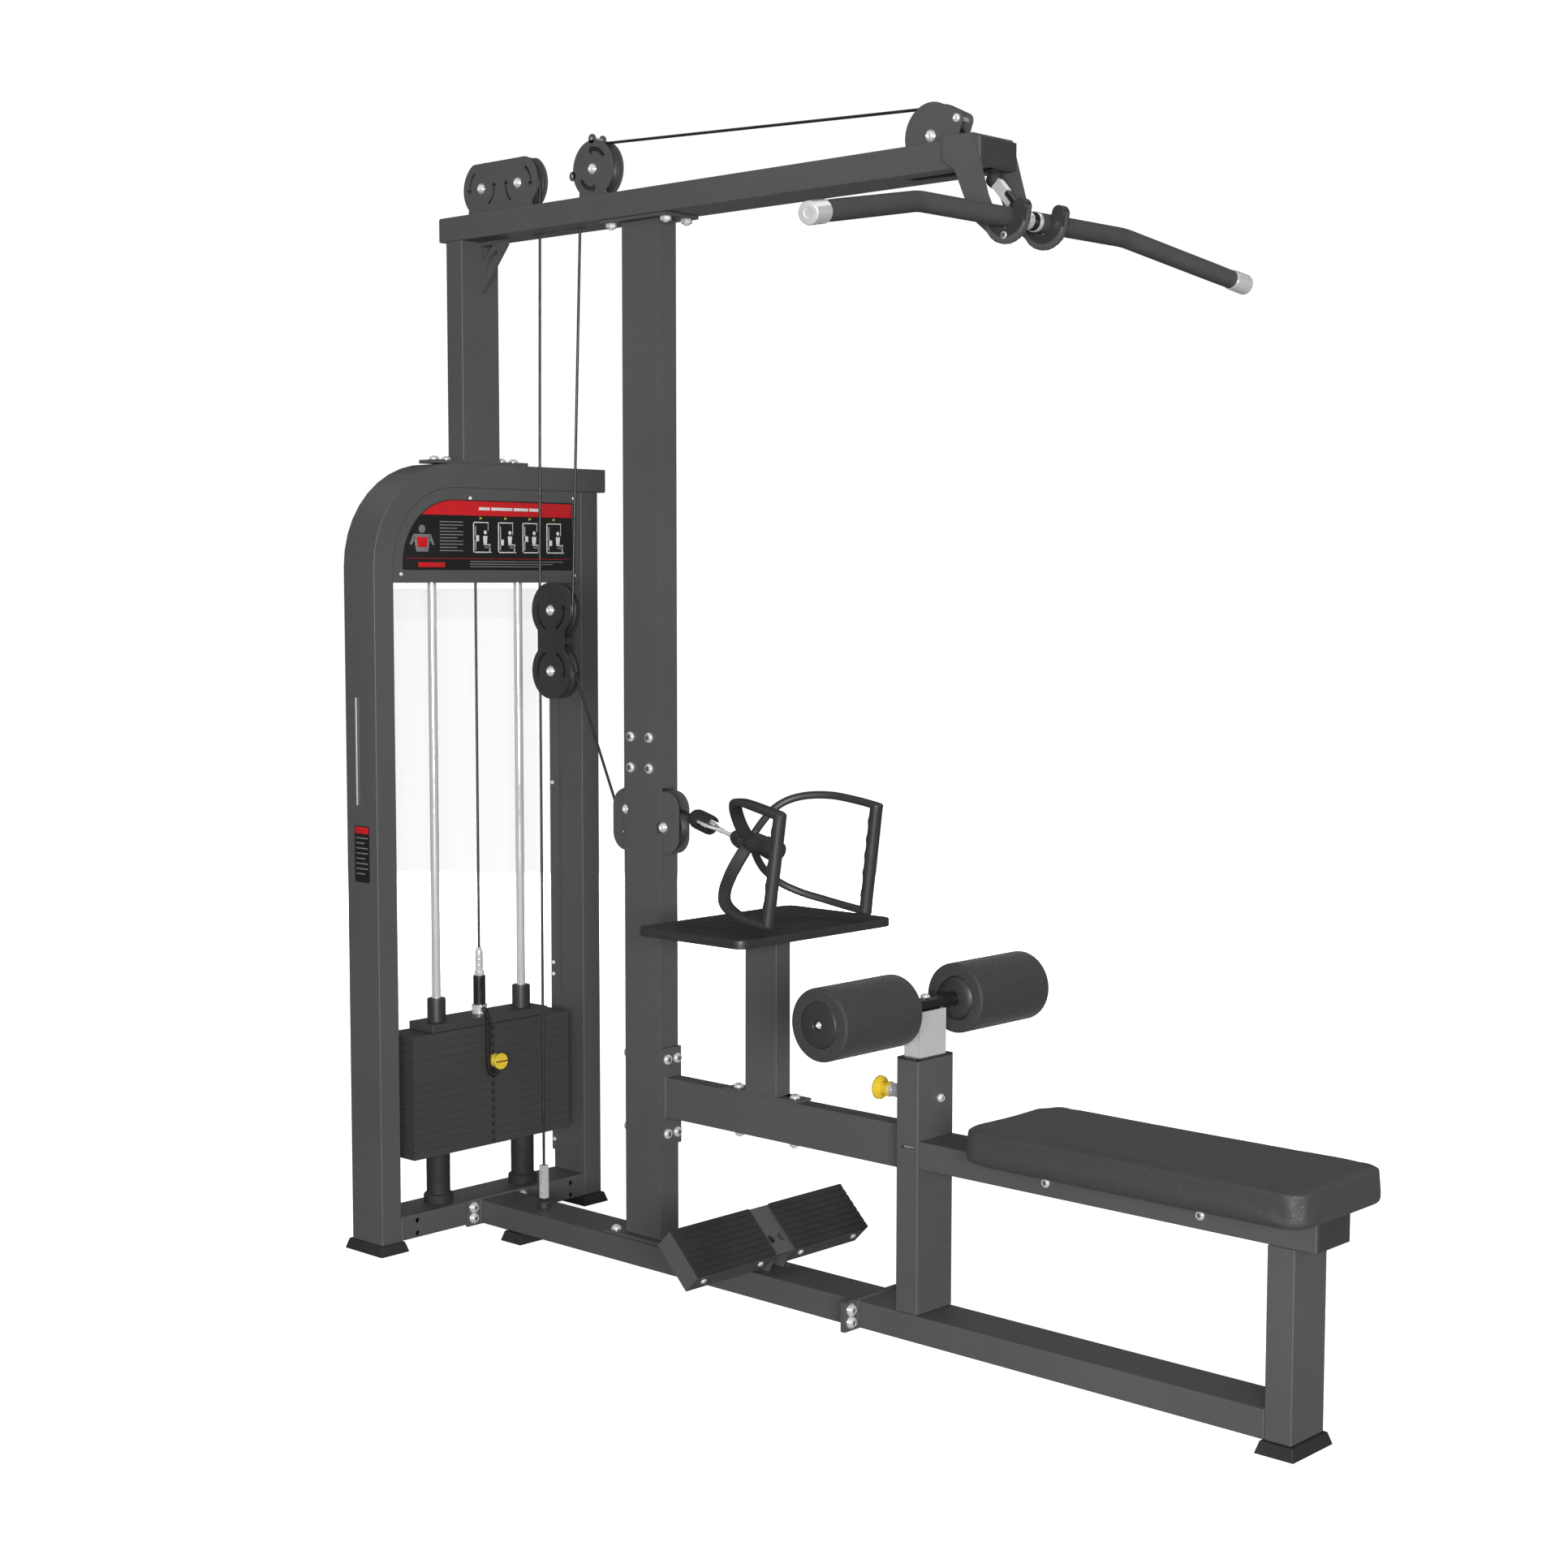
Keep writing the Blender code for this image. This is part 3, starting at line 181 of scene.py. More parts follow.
# ---- materials ----------------------------------------------------------------------------------
class Shader:
    """A Principled material under construction."""

    def __init__(self, name, **sockets):
        self.material = bpy.data.materials.new(name)
        self.material.use_nodes = True
        self.tree = self.material.node_tree
        self.bsdf = self.tree.nodes["Principled BSDF"]
        self.coords = self.add("TexCoord").node.outputs["Object"]
        for key, value in sockets.items():
            self.bsdf.inputs[key.replace("_", " ")].default_value = value

    def add(self, kind, settings=None, **inputs):
        return shader_node(self.tree, kind, settings, **inputs)

    def link(self, value, socket):
        self.tree.links.new(value, self.bsdf.inputs[socket])

    def noise(self, scale, detail=2.0, rough=0.5):
        return self.add("TexNoise", Scale=scale, Detail=detail, Roughness=rough, Vector=self.coords)

    def cells(self, scale, feature="SMOOTH_F1", vector=None):
        return self.add("TexVoronoi", {"feature": feature}, Scale=scale, Vector=vector or self.coords)

    def span(self, value, low, high, start=0.3, stop=0.7):
        return self.add("MapRange", Value=value, From_Min=start, From_Max=stop, To_Min=low, To_Max=high)

    def sum(self, a, b, weight):
        return self.add("Math", {"operation": "MULTIPLY_ADD"}, _0=b, _1=weight, _2=a)

    def colours(self, value, *stops):
        ramp = self.add("ValToRGB", Fac=value)
        for element, (place, colour) in zip(ramp.node.color_ramp.elements, stops):
            element.position = place
            element.color = (*colour, 1)
        self.link(ramp, "Base Color")

    def roughness(self, value, low, high, start=0.3, stop=0.7):
        self.link(self.span(value, low, high, start, stop), "Roughness")

    def bump(self, height, strength, distance):
        self.link(self.add("Bump", Strength=strength, Distance=distance, Height=height), "Normal")
        return self.material


def grey(value, tint=0.0):
    return (value, value, value * (1 + tint))


def powder_coat(name, low, high, rough=(0.40, 0.56), grain=700):
    """Textured powder coat: a fine orange peel with a faint uneven tone."""
    s = Shader(name, Specular_IOR_Level=0.5)
    s.colours(s.sum(s.noise(2.3, 3), s.noise(60, 3), 0.25), (0.42, grey(low, 0.02)), (0.85, grey(high, 0.02)))
    s.roughness(s.noise(240, 3), *rough)
    return s.bump(s.sum(s.noise(grain, 3, 0.6), s.cells(grain * 0.7), 0.5), 0.28, 0.0003)


def moulded(name, low, high, rough=(0.34, 0.50), grain=900, strength=0.12):
    """Moulded plastic with a fine spark-eroded grain."""
    s = Shader(name, Specular_IOR_Level=0.5)
    s.colours(s.noise(9, 4), (0.3, low), (0.75, high))
    s.roughness(s.noise(35, 4), *rough)
    return s.bump(s.noise(grain, 4, 0.65), strength, 0.0002)


def rubber(name, low, high, grain=420, strength=0.35):
    s = Shader(name, Specular_IOR_Level=0.35)
    s.colours(s.noise(14, 4), (0.3, grey(low)), (0.75, grey(high)))
    s.roughness(s.noise(60, 3), 0.58, 0.78)
    return s.bump(s.noise(grain, 4, 0.7), strength, 0.0004)


def foam():
    """Dense skinned foam with a pebbled surface."""
    s = Shader("foam", Specular_IOR_Level=0.4, Sheen_Weight=0.12, Sheen_Roughness=0.4)
    pebbles = s.sum(s.noise(330, 5, 0.7), s.cells(520), 0.8)
    s.colours(pebbles, (0.35, grey(0.012)), (0.95, grey(0.050)))
    s.roughness(s.noise(150, 3), 0.50, 0.74)
    return s.bump(pebbles, 0.75, 0.0009)


def vinyl():
    """Upholstery vinyl pressed with a leather grain."""
    s = Shader("vinyl", Specular_IOR_Level=0.5, Sheen_Weight=0.05)
    shift = s.add("TexNoise", Scale=90, Vector=s.coords).node.outputs["Color"]
    warped = s.add("VectorMath", {"operation": "MULTIPLY_ADD"}, _0=shift, _1=(0.004, 0.004, 0.004), _2=s.coords)
    grain = s.sum(s.span(s.cells(330, "DISTANCE_TO_EDGE", warped), 0, 1, 0.0, 0.22), s.noise(800, 3), 0.35)
    s.colours(grain, (0.1, grey(0.034)), (0.9, grey(0.056)))
    s.roughness(grain, 0.60, 0.38, 0.1, 1.1)
    return s.bump(grain, 0.55, 0.0005)


def chrome():
    """Bright plate: a pale, partly diffuse base colour paints in the white studio's reflection, so it looks as pale
    as chrome does there.
    """
    s = Shader("chrome", Metallic=0.50)
    # painted reflection: a near-white base under half metal stands in for the studio's bright reflections
    s.colours(s.noise(20, 3), (0.3, grey(0.90)), (0.7, grey(0.97)))
    s.roughness(s.noise(50, 4), 0.05, 0.13)
    return s.bump(s.noise(120, 2), 0.02, 0.0002)


def zinc():
    """Bright zinc on the screws and nuts, a little duller than the chrome."""
    s = Shader("zinc", Metallic=0.70)
    s.colours(s.noise(160, 3), (0.3, grey(0.70, 0.02)), (0.7, grey(0.84, 0.02)))
    s.roughness(s.noise(260, 4), 0.14, 0.28)
    return s.bump(s.noise(700, 2), 0.06, 0.0002)


def cable_skin():
    s = Shader("cable", Specular_IOR_Level=0.5)
    s.colours(s.noise(40, 3), (0.3, grey(0.012)), (0.7, grey(0.022)))
    s.roughness(s.noise(90, 2), 0.28, 0.42)
    return s.bump(s.noise(260, 2), 0.15, 0.0002)


def frosted():
    """Frosted translucent polycarbonate sheet."""
    s = Shader("shroud", Specular_IOR_Level=0.5, Alpha=0.13)
    s.colours(s.noise(900, 2), (0.3, grey(0.72)), (0.7, grey(0.86)))
    s.roughness(s.noise(30, 3), 0.35, 0.5)
    return s.bump(s.noise(500, 3), 0.15, 0.0002)


def printed(name, colour):
    """Screen-printed ink under a satin laminate."""
    s = Shader(name, Specular_IOR_Level=0.5)
    s.colours(s.noise(60, 4), (0.3, tuple(c * 0.90 for c in colour)), (0.7, colour))
    s.roughness(s.noise(40, 2), 0.26, 0.36)
    return s.bump(s.noise(900, 2), 0.05, 0.0001)


def floor_paper():
    """A white sweep, bright to the eye but dull to the machine above it, so undersides stay dark."""
    s = Shader("floor", Specular_IOR_Level=0.1, Emission_Color=(1, 1, 1, 1), Emission_Strength=0.86)
    s.colours(s.noise(0.4, 2), (0.3, grey(0.88)), (0.7, grey(0.90)))
    s.roughness(s.noise(20, 2), 0.85, 0.95)
    s.bump(s.noise(200, 2), 0.02, 0.0005)
    dull = s.add("BsdfDiffuse", Color=(0.21, 0.21, 0.21, 1))
    seen = s.add("LightPath").node.outputs["Is Camera Ray"]
    mix = s.add("MixShader", Fac=seen, _1=dull, _2=s.bsdf.outputs[0])
    s.tree.links.new(mix, s.tree.nodes["Material Output"].inputs["Surface"])
    return s.material


MAT = {
    "paint": powder_coat("paint", 0.080, 0.096),
    "stack_paint": powder_coat("stack_paint", 0.044, 0.054, (0.44, 0.60), 520),
    "cap": moulded("cap", grey(0.042), grey(0.052)),
    # inner: a near-black coat that paints the shade inside slots and holes
    "inner": powder_coat("painted_recess_shade", 0.010, 0.016, (0.55, 0.7)),
    "plastic": moulded("plastic", grey(0.030), grey(0.040)),
    "gloss": moulded("gloss_black", grey(0.014), grey(0.020), (0.22, 0.34), 700, 0.06),
    "yellow": moulded("yellow", (0.72, 0.50, 0.030), (0.86, 0.62, 0.045), (0.22, 0.34), 500, 0.10),
    "rubber": rubber("rubber", 0.020, 0.029),
    "tread": rubber("tread", 0.024, 0.033, 300, 0.30),
    "grip": rubber("grip", 0.062, 0.074, 500, 0.30),
    "foam": foam(),
    "vinyl": vinyl(),
    "chrome": chrome(),
    "zinc": zinc(),
    "cable": cable_skin(),
    "shroud": frosted(),
    "ink_black": printed("ink_black", (0.012, 0.012, 0.013)),
    "ink_red": printed("ink_red", (0.62, 0.010, 0.014)),
    "ink_white": printed("ink_white", (0.72, 0.72, 0.72)),
    "ink_grey": printed("ink_grey", (0.20, 0.20, 0.21)),
    "ink_yellow": printed("ink_yellow", (0.62, 0.50, 0.03)),
    "floor": floor_paper(),
}


# ---- mesh building ------------------------------------------------------------------------------
CORNER_ANGLE = 35
CLOSE = 2e-5


def mm(text):
    """Rows of lengths in metres from rows of millimetres such as "12,0 12,-8.5"."""
    return [tuple(float(value + "e-3") for value in row.split(",")) for row in text.split()]


def arc(centre, radius, start, end, count):
    angles = [math.radians(start + (end - start) * i / count) for i in range(count + 1)]
    return [(centre[0] + radius * math.cos(a), centre[1] + radius * math.sin(a)) for a in angles]


def on_circle(centre, radius, angle):
    return arc(centre, radius, angle, angle, 1)[0]


def rounded(x, y, radius, count=6):
    points = []
    for cx, cy, start in ((x[1], y[1], 0), (x[0], y[1], 90), (x[0], y[0], 180), (x[1], y[0], 270)):
        centre = (cx - math.copysign(radius, cx - sum(x) / 2), cy - math.copysign(radius, cy - sum(y) / 2))
        points += arc(centre, radius, start, start + 90, count)
    return points


def hull(*circles, count=64):
    points = sorted({p for x, z, r in circles for p in arc((x, z), r, 0, 360, count)[:-1]})

    def half(ordered):
        chain = []
        for p in ordered:
            while len(chain) > 1 and (
                    (chain[-1][0] - chain[-2][0]) * (p[1] - chain[-2][1])
                    - (chain[-1][1] - chain[-2][1]) * (p[0] - chain[-2][0])) <= 1e-12:
                chain.pop()
            chain.append(p)
        return chain[:-1]

    return half(points) + half(points[::-1])


def filleted(points, radius, count=8):
    path = [Vector(points[0])]
    for before, corner, after in zip(points, points[1:], points[2:]):
        corner = Vector(corner)
        a, b = (Vector(before) - corner).normalized(), (Vector(after) - corner).normalized()
        half_angle = a.angle(b) / 2
        centre = corner + (a + b).normalized() * (radius / math.sin(half_angle))
        reach = radius / math.tan(half_angle)
        first, last = corner + a * reach - centre, corner + b * reach - centre
        for i in range(count + 1):
            path.append(centre + first.slerp(last, i / count).normalized() * radius)
    return path + [Vector(points[-1])]


def smooth(points, count=6):
    points = [Vector(p) for p in points]
    ends = [points[0] * 2 - points[1], *points, points[-1] * 2 - points[-2]]
    path = []
    for a, b, c, d in zip(ends, ends[1:], ends[2:], ends[3:]):
        for i in range(count):
            t = i / count
            path.append((b * 2 + (c - a) * t + (a * 2 - b * 5 + c * 4 - d) * t ** 2
                         + (b * 3 - a - c * 3 + d) * t ** 3) / 2)
    return path + [points[-1]]


def superellipse(a, b, power=3.0, count=20):
    """A rounded-rectangle section."""
    points = []
    for i in range(count):
        t = 2 * math.pi * i / count
        c, s = math.cos(t), math.sin(t)
        points.append((a * math.copysign(abs(c) ** (2 / power), c), b * math.copysign(abs(s) ** (2 / power), s)))
    return points


def circle(radius, count=20, centre=(0, 0)):
    return arc(centre, radius, 0, 360 - 360 / count, count - 1)


def axes_at(origin, *axes):
    """The matrix that sets a shape's own x, y and z along these axes at a point."""
    turn = Matrix(axes).transposed().to_4x4()
    turn.translation = origin
    return turn


def direction_at(path, i):
    return (path[min(i + 1, len(path) - 1)] - path[max(i - 1, 0)]).normalized()


def solid_mesh(name, verts, faces):
    """A mesh from points in the layout, moved into the row frame, with its faces turned outwards."""
    mesh = bpy.data.meshes.new(name)
    mesh.from_pydata([(x - OX, y, z) for x, y, z in verts], [], faces)
    return outward(mesh)


def outward(mesh):
    bm = bmesh.new()
    bm.from_mesh(mesh)
    bmesh.ops.recalc_face_normals(bm, faces=bm.faces)
    bm.to_mesh(mesh)
    bm.free()
    return mesh


def shade(mesh, angle):
    mesh.shade_smooth()
    mesh.set_sharp_from_angle(angle=math.radians(angle))


class Shape:
    """Geometry collected for one piece, with a material name for each face."""

    def __init__(self):
        self.verts, self.faces, self.names = [], [], []

    def add(self, verts, faces, mat):
        base = len(self.verts)
        self.verts += [tuple(v) for v in verts]
        self.faces += [tuple(base + i for i in f) for f in faces]
        self.names += [mat] * len(faces)
        return self

    def lathe(self, profile, origin, direction, mat, steps=48):
        """A profile of (radius, height) rows turned about the axis; a third value makes the row a hexagon."""
        turn = Vector(direction).to_track_quat("Z", "Y").to_matrix()
        origin = Vector(origin)
        verts, rings = [], []
        closed = profile[0] == profile[-1] and profile[0][0] > 1e-7
        for r, z, *six in profile[:-1] if closed else profile:
            if r < 1e-7:
                rings.append([len(verts)])
                verts.append(origin + turn @ Vector((0, 0, z)))
                continue
            rings.append(list(range(len(verts), len(verts) + steps)))
            for i in range(steps):
                a = 2 * math.pi * i / steps
                k = math.cos(math.pi / 6) / math.cos(a % (math.pi / 3) - math.pi / 6) if six else 1
                verts.append(origin + turn @ Vector((r * k * math.cos(a), r * k * math.sin(a), z)))
        if closed:
            rings.append(rings[0])
        faces = []
        for low, high in zip(rings, rings[1:]):
            for i in range(steps):
                j = (i + 1) % steps
                if len(low) == 1 and len(high) > 1:
                    faces.append((low[0], high[j], high[i]))
                elif len(high) == 1 and len(low) > 1:
                    faces.append((low[i], low[j], high[0]))
                elif len(low) > 1:
                    faces.append((low[i], low[j], high[j], high[i]))
        return self.add(verts, faces, mat)

    def loft(self, rings, mat):
        """Rings of points joined in turn and closed at both ends."""
        n = len(rings[0])
        faces = []
        for i in range(len(rings) - 1):
            for j in range(n):
                a, b = i * n + j, i * n + (j + 1) % n
                faces.append((a, b, b + n, a + n))
        faces += [tuple(range(n - 1, -1, -1)), tuple(range((len(rings) - 1) * n, len(rings) * n))]
        return self.add([p for ring in rings for p in ring], faces, mat)

    def sweep(self, path, section, mat, up=(0, 1, 0), scales=None):
        """A section carried along a path without twist."""
        path = [Vector(p) for p in path]
        side, rings = Vector(up), []
        for i, p in enumerate(path):
            along = direction_at(path, i)
            side = (side - along * side.dot(along)).normalized()
            across = along.cross(side)
            k = scales[i] if scales else 1
            rings.append([p + side * (a * k) + across * (b * k) for a, b in section])
        return self.loft(rings, mat)

    def mesh(self, source, mat):
        """The faces of a bmesh, which is used up."""
        source.verts.index_update()
        self.add([v.co for v in source.verts], [[v.index for v in f.verts] for f in source.faces], mat)
        source.free()
        return self

    def box(self, x, y, z, mat, radius=0.001, matrix=None, segments=2):
        bm = bmesh.new()
        bmesh.ops.create_cube(bm, size=1.0)
        bmesh.ops.scale(bm, vec=(x[1] - x[0], y[1] - y[0], z[1] - z[0]), verts=bm.verts)
        bmesh.ops.translate(bm, vec=(sum(x) / 2, sum(y) / 2, sum(z) / 2), verts=bm.verts)
        bmesh.ops.bevel(bm, geom=bm.edges[:], offset=radius, segments=segments, profile=0.5, affect="EDGES")
        if matrix is not None:
            bmesh.ops.transform(bm, matrix=matrix, verts=bm.verts)
        return self.mesh(bm, mat)

    def prism(self, outline, plane, low, high, mat, holes=(), edge=0.0006):
        """A flat outline with holes, extruded between two planes, with softened edges."""
        curve = bpy.data.curves.new("outline", "CURVE")
        curve.dimensions = "2D"
        curve.fill_mode = "BOTH"
        curve.extrude = (high - low) / 2 - edge
        curve.bevel_depth = edge
        curve.bevel_resolution = 1
        curve.offset = -edge
        for loop in (outline, *holes):
            spline = curve.splines.new("POLY")
            spline.points.add(len(loop) - 1)
            for point, (a, b) in zip(spline.points, loop):
                point.co = (a, b, 0, 1)
            spline.use_cyclic_u = True
        made = add_object("outline", curve)
        bpy.context.view_layer.update()
        mesh = bpy.data.meshes.new_from_object(made.evaluated_get(bpy.context.evaluated_depsgraph_get()))
        bpy.data.objects.remove(made)
        bm = bmesh.new()
        bm.from_mesh(mesh)
        bmesh.ops.remove_doubles(bm, verts=bm.verts, dist=0.00001)
        middle = (low + high) / 2
        for v in bm.verts:
            a, b, c = v.co
            v.co = {"XY": (a, b, c + middle), "XZ": (a, c + middle, b), "YZ": (c + middle, a, b)}[plane]
        bmesh.ops.recalc_face_normals(bm, faces=bm.faces)
        return self.mesh(bm, mat)

    def screw(self, point, direction, radius=0.0100, height=0.0065, mat="chrome", washer=0.0):
        """A domed head with a hexagon socket, on a washer where one is asked for."""
        point, direction = Vector(point), Vector(direction).normalized()
        if washer:
            rim = [(0, 0), (washer, 0), (washer, 0.0009), (washer - 0.0004, 0.0013), (0, 0.0013)]
            self.lathe(rim, point, direction, "zinc", 36)
            point = point + direction * 0.0013
        dome = [(radius * math.cos(a), height * (0.30 + 0.70 * math.sin(a)))
                for a in (math.radians(d) for d in (0, 15, 30, 45, 57))]
        socket = [(radius * 0.50, height * 0.995), (radius * 0.47, height * 0.94, 1),
                  (radius * 0.47, height * 0.45, 1), (0, height * 0.38)]
        base = [(0, 0), (radius * 0.97, 0), (radius, height * 0.08)]
        return self.lathe(base + dome + socket, point, direction, mat, 36)

    def nut(self, point, direction, radius=0.0095, height=0.008, mat="chrome"):
        """A hexagon nut with the bolt's end showing."""
        profile = [(0, 0), (radius, 0, 1), (radius, height * 0.82, 1), (radius * 0.84, height),
                   (radius * 0.56, height), (radius * 0.52, height * 1.22), (radius * 0.44, height * 1.32),
                   (0, height * 1.32)]
        return self.lathe(profile, point, direction, mat, 36)

    def emit(self, name, body, nodes=(), angle=CORNER_ANGLE, weighted=True, bevel=0.0):
        """The collected geometry as a piece that rides on a body."""
        mesh = solid_mesh(name, self.verts, self.faces)
        order = list(dict.fromkeys(self.names))
        for mat in order:
            mesh.materials.append(MAT[mat])
        mesh.polygons.foreach_set("material_index", [order.index(n) for n in self.names])
        return settle(name, mesh, body, nodes, angle, weighted, bevel)


def settle(name, mesh, body, nodes=(), angle=CORNER_ANGLE, weighted=True, bevel=0.0):
    """A mesh as a piece: its shading, its body and the CAD nodes that it stands for."""
    shade(mesh, angle)
    made = add_object(name, mesh)
    if bevel:
        edge = made.modifiers.new("edges", "BEVEL")
        edge.width = bevel
        edge.segments = 2
        edge.limit_method = "ANGLE"
        edge.angle_limit = math.radians(40)
        edge.use_clamp_overlap = True
    if weighted:
        made.modifiers.new("normals", "WEIGHTED_NORMAL").keep_sharp = True
    if body:
        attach(made, body)
    if nodes:
        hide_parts(*nodes)
    return made


def carve(made, cutter, angle=CORNER_ANGLE):
    """Cuts the collected shape out of a piece and keeps the result as its mesh."""
    tool = add_object("cutter", solid_mesh("cutter", cutter.verts, cutter.faces))
    made.modifiers.clear()
    cut = made.modifiers.new("cut", "BOOLEAN")
    cut.operation = "DIFFERENCE"
    cut.solver = "EXACT"
    cut.object = tool
    bpy.context.view_layer.update()
    made.data = bpy.data.meshes.new_from_object(made.evaluated_get(bpy.context.evaluated_depsgraph_get()))
    made.modifiers.clear()
    bpy.data.objects.remove(tool)
    shade(made.data, angle)
    made.modifiers.new("normals", "WEIGHTED_NORMAL").keep_sharp = True
    return made


def body_of(node):
    return NODES[node]["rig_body"]


def refine(node, mat, spans=None, axis=None, radius=0.0022, test=None):
    """A CAD node's shape with its long outer corners rounded and its flats clean."""
    bm = bmesh.new()
    bm.from_mesh(NODES[node].data)
    bmesh.ops.remove_doubles(bm, verts=bm.verts, dist=CLOSE)
    bmesh.ops.dissolve_limit(bm, angle_limit=math.radians(0.6), verts=bm.verts, edges=bm.edges)
    if spans or test:
        fixed = [k for k in range(3) if "xyz"[k] != axis]

        def at(v, k):
            value = v.co[k] + (OX if k == 0 else 0)
            return min(abs(value - spans[k][0]), abs(value - spans[k][1])) < CLOSE

        chosen = [e for e in bm.edges if e.calc_length() > 0.004 and (
            test(e) if test else all(at(v, k) for v in e.verts for k in fixed))]
        bmesh.ops.bevel(bm, geom=chosen, offset=radius, segments=3, profile=0.5, affect="EDGES", clamp_overlap=True)
    mesh = bpy.data.meshes.new(node + "_look")
    bm.to_mesh(mesh)
    bm.free()
    mesh.materials.append(MAT[mat])
    return settle(node + "_look", outward(mesh), body_of(node), (node,))


# ---- frame --------------------------------------------------------------------------------------
TUBE, WIDE = 0.050, 0.100
BASE_Z, ARCH_END_Y = 0.0215, 0.330
FOOTREST = Matrix.Translation((0.8755, 0, 0.1865)) @ Matrix.Rotation(math.radians(45), 4, "Y")
FOOTREST_LENGTH = 0.105
GUIDE_X, GUIDE_Y, GUIDE_LOW, GUIDE_TOP = 0.050, (-0.118, 0.118), 0.0718, 1.5757


def painted_frame():
    def outer_corner(edge):
        ends = [v.co for v in edge.verts]
        return (all(min(abs(p.x + OX), abs(p.x + OX - WIDE)) < CLOSE for p in ends)
                and not all(abs(p.z - BASE_Z) < 1e-4 for p in ends)
                and not all(abs(p.y - ARCH_END_Y) < 1e-4 for p in ends))

    refine("tower_arch", "paint", test=outer_corner)
    tubes = {
        "tower_right_post": ("z", "0,100 257,307 0,0"),
        "tower_crossbeam": ("y", "0,100 0,0 21.5,71.5"),
        "rear_strut": ("z", "25,75 -50,50 0,0"),
        "boom": ("x", "0,0 -50,50 2091,2141"),
        "column": ("z", "530.3,630.3 -25,25 0,0"),
        "rear_base_beam": ("x", "0,0 -50,50 21.5,71.5"),
        "front_base_beam": ("x", "0,0 -50,50 21.5,71.5"),
        "front_leg": ("z", "2031.6,2081.6 -50,50 0,0"),
        "seat_tube": ("x", "0,0 -50,50 340.7,390.7"),
        "seat_rail": ("x", "0,0 -19.5,19.5 326,406.5"),
        "hold_down_post": ("z", "1262.5,1312.5 -50,50 0,0"),
        "tray_post": ("z", "857.7,939.2 -20,20 0,0"),
    }
    made = {node: refine(node, "paint", mm(spans), axis) for node, (axis, spans) in tubes.items()}
    window = Shape().prism(mm("78.5,2043 121.5,2082 78.5,2082"), "XZ", -0.02, 0.02, "paint")
    carve(made["rear_strut"], window)
    track = smooth(mm("98.5,2027,0 103.5,2044.5,0 116.5,2059,0 129,2066.5,0"), 5)
    slot = Shape().sweep([(p.x, 0, p.y) for p in track], mm("-20,-3.4 20,-3.4 20,3.4 -20,3.4"), "paint")
    carve(made["rear_strut"], slot)
    mark = Shape().prism(rounded((1.2715, 1.3035), (0.3745, 0.3790), 0.0016), "XZ", -0.06, 0.06, "paint")
    carve(made["hold_down_post"], mark)
    for node in ("sign_panel", "footrest_frame"):
        refine(node, "paint")


def plugs():
    """Black plastic end plugs in the open tubes, and the guide at the top of the hold-down post."""
    s = Shape()
    for box in ("2,98 329.2,332.5 1582,1628", "1,4.5 -48.5,48.5 2092.5,2139.5",
                "1435.5,1439 -48.5,48.5 2092.5,2139.5", "2119.5,2123 -48.5,48.5 342.2,389.2"):
        s.box(*mm(box), "cap", 0.0012)
    for sides in ("1263,1267.5 -49.5,49.5", "1307.5,1312 -49.5,49.5", "1263,1312 -49.5,-38.5", "1263,1312 38.5,49.5"):
        s.box(*mm(sides), (0.5340, 0.5390), "plastic", 0.0008)
    s.emit("end_plugs", "frame")


def feet():
    for node in ("foot_tower_left", "foot_tower_right", "foot_middle", "foot_front"):
        refine(node, "rubber", test=lambda e: True, radius=0.0016)


def frame_bolts():
    s = Shape()
    for y in (-0.068, 0.068):
        for z in (0.035, 0.058):
            s.screw((0.1065, y, z), (1, 0, 0), 0.0105, 0.0075, washer=0.0122)
            s.screw((1.162, y, z), (-1, 0, 0), 0.0105, 0.0075, washer=0.0122)
            s.screw((1.172, y, z), (1, 0, 0), 0.0105, 0.0075, washer=0.0122)
    for y in (-0.108, -0.075, 0.075, 0.108):
        s.screw((0.050, y, 1.638), (0, 0, 1), 0.0100, 0.0085)
    corners = [(x, y) for x in (0.5043, 0.6563) for y in (-0.028, 0.028)]
    for x, y in corners:
        s.screw((x, y, 0.0778), (0, 0, 1), 0.0102, 0.0072, washer=0.0118)
    for x, y in corners:
        s.nut((x, y, 2.0847), (0, 0, -1), 0.0112, 0.0085)
    for y in (-1, 1):
        for x in (0.550, 0.6024):
            for z in (1.0193, 1.0805):
                s.screw((x, y * 0.025, z), (0, y, 0), 0.0102, 0.0072)
    for y in (-0.0135, 0.0135):
        for z in (0.2925, 0.4420):
            s.screw((0.639, y, z), (1, 0, 0), 0.0102, 0.0075)
            s.nut((0.5303, y, z), (-1, 0, 0), 0.0098, 0.0082)
    for x in (0.825, 0.968):
        s.nut((x, 0, 0.3260), (0, 0, -1), 0.0098, 0.0082)
    for x in (0.822, 0.970):
        s.screw((x, 0, 0.4115), (0, 0, 1), 0.0102, 0.0075)
    for x in (1.596, 1.906):
        for side in (-1, 1):
            s.screw((x, side * TUBE, 0.3650), (0, side, 0), 0.0085, 0.0055)
    s.screw((1.3125, 0.013, 0.4607), (1, 0, 0), 0.0080, 0.0075)
    s.emit("frame_bolts", "frame")
    s = Shape()
    for y in (-0.2107, -0.0566, 0.0566, 0.2107):
        point = FOOTREST @ Vector((FOOTREST_LENGTH, y, -0.024))
        s.screw(point, FOOTREST.to_3x3() @ Vector((1, 0, 0)), 0.0064, 0.0044)
    s.emit("footrest_screws", "frame")


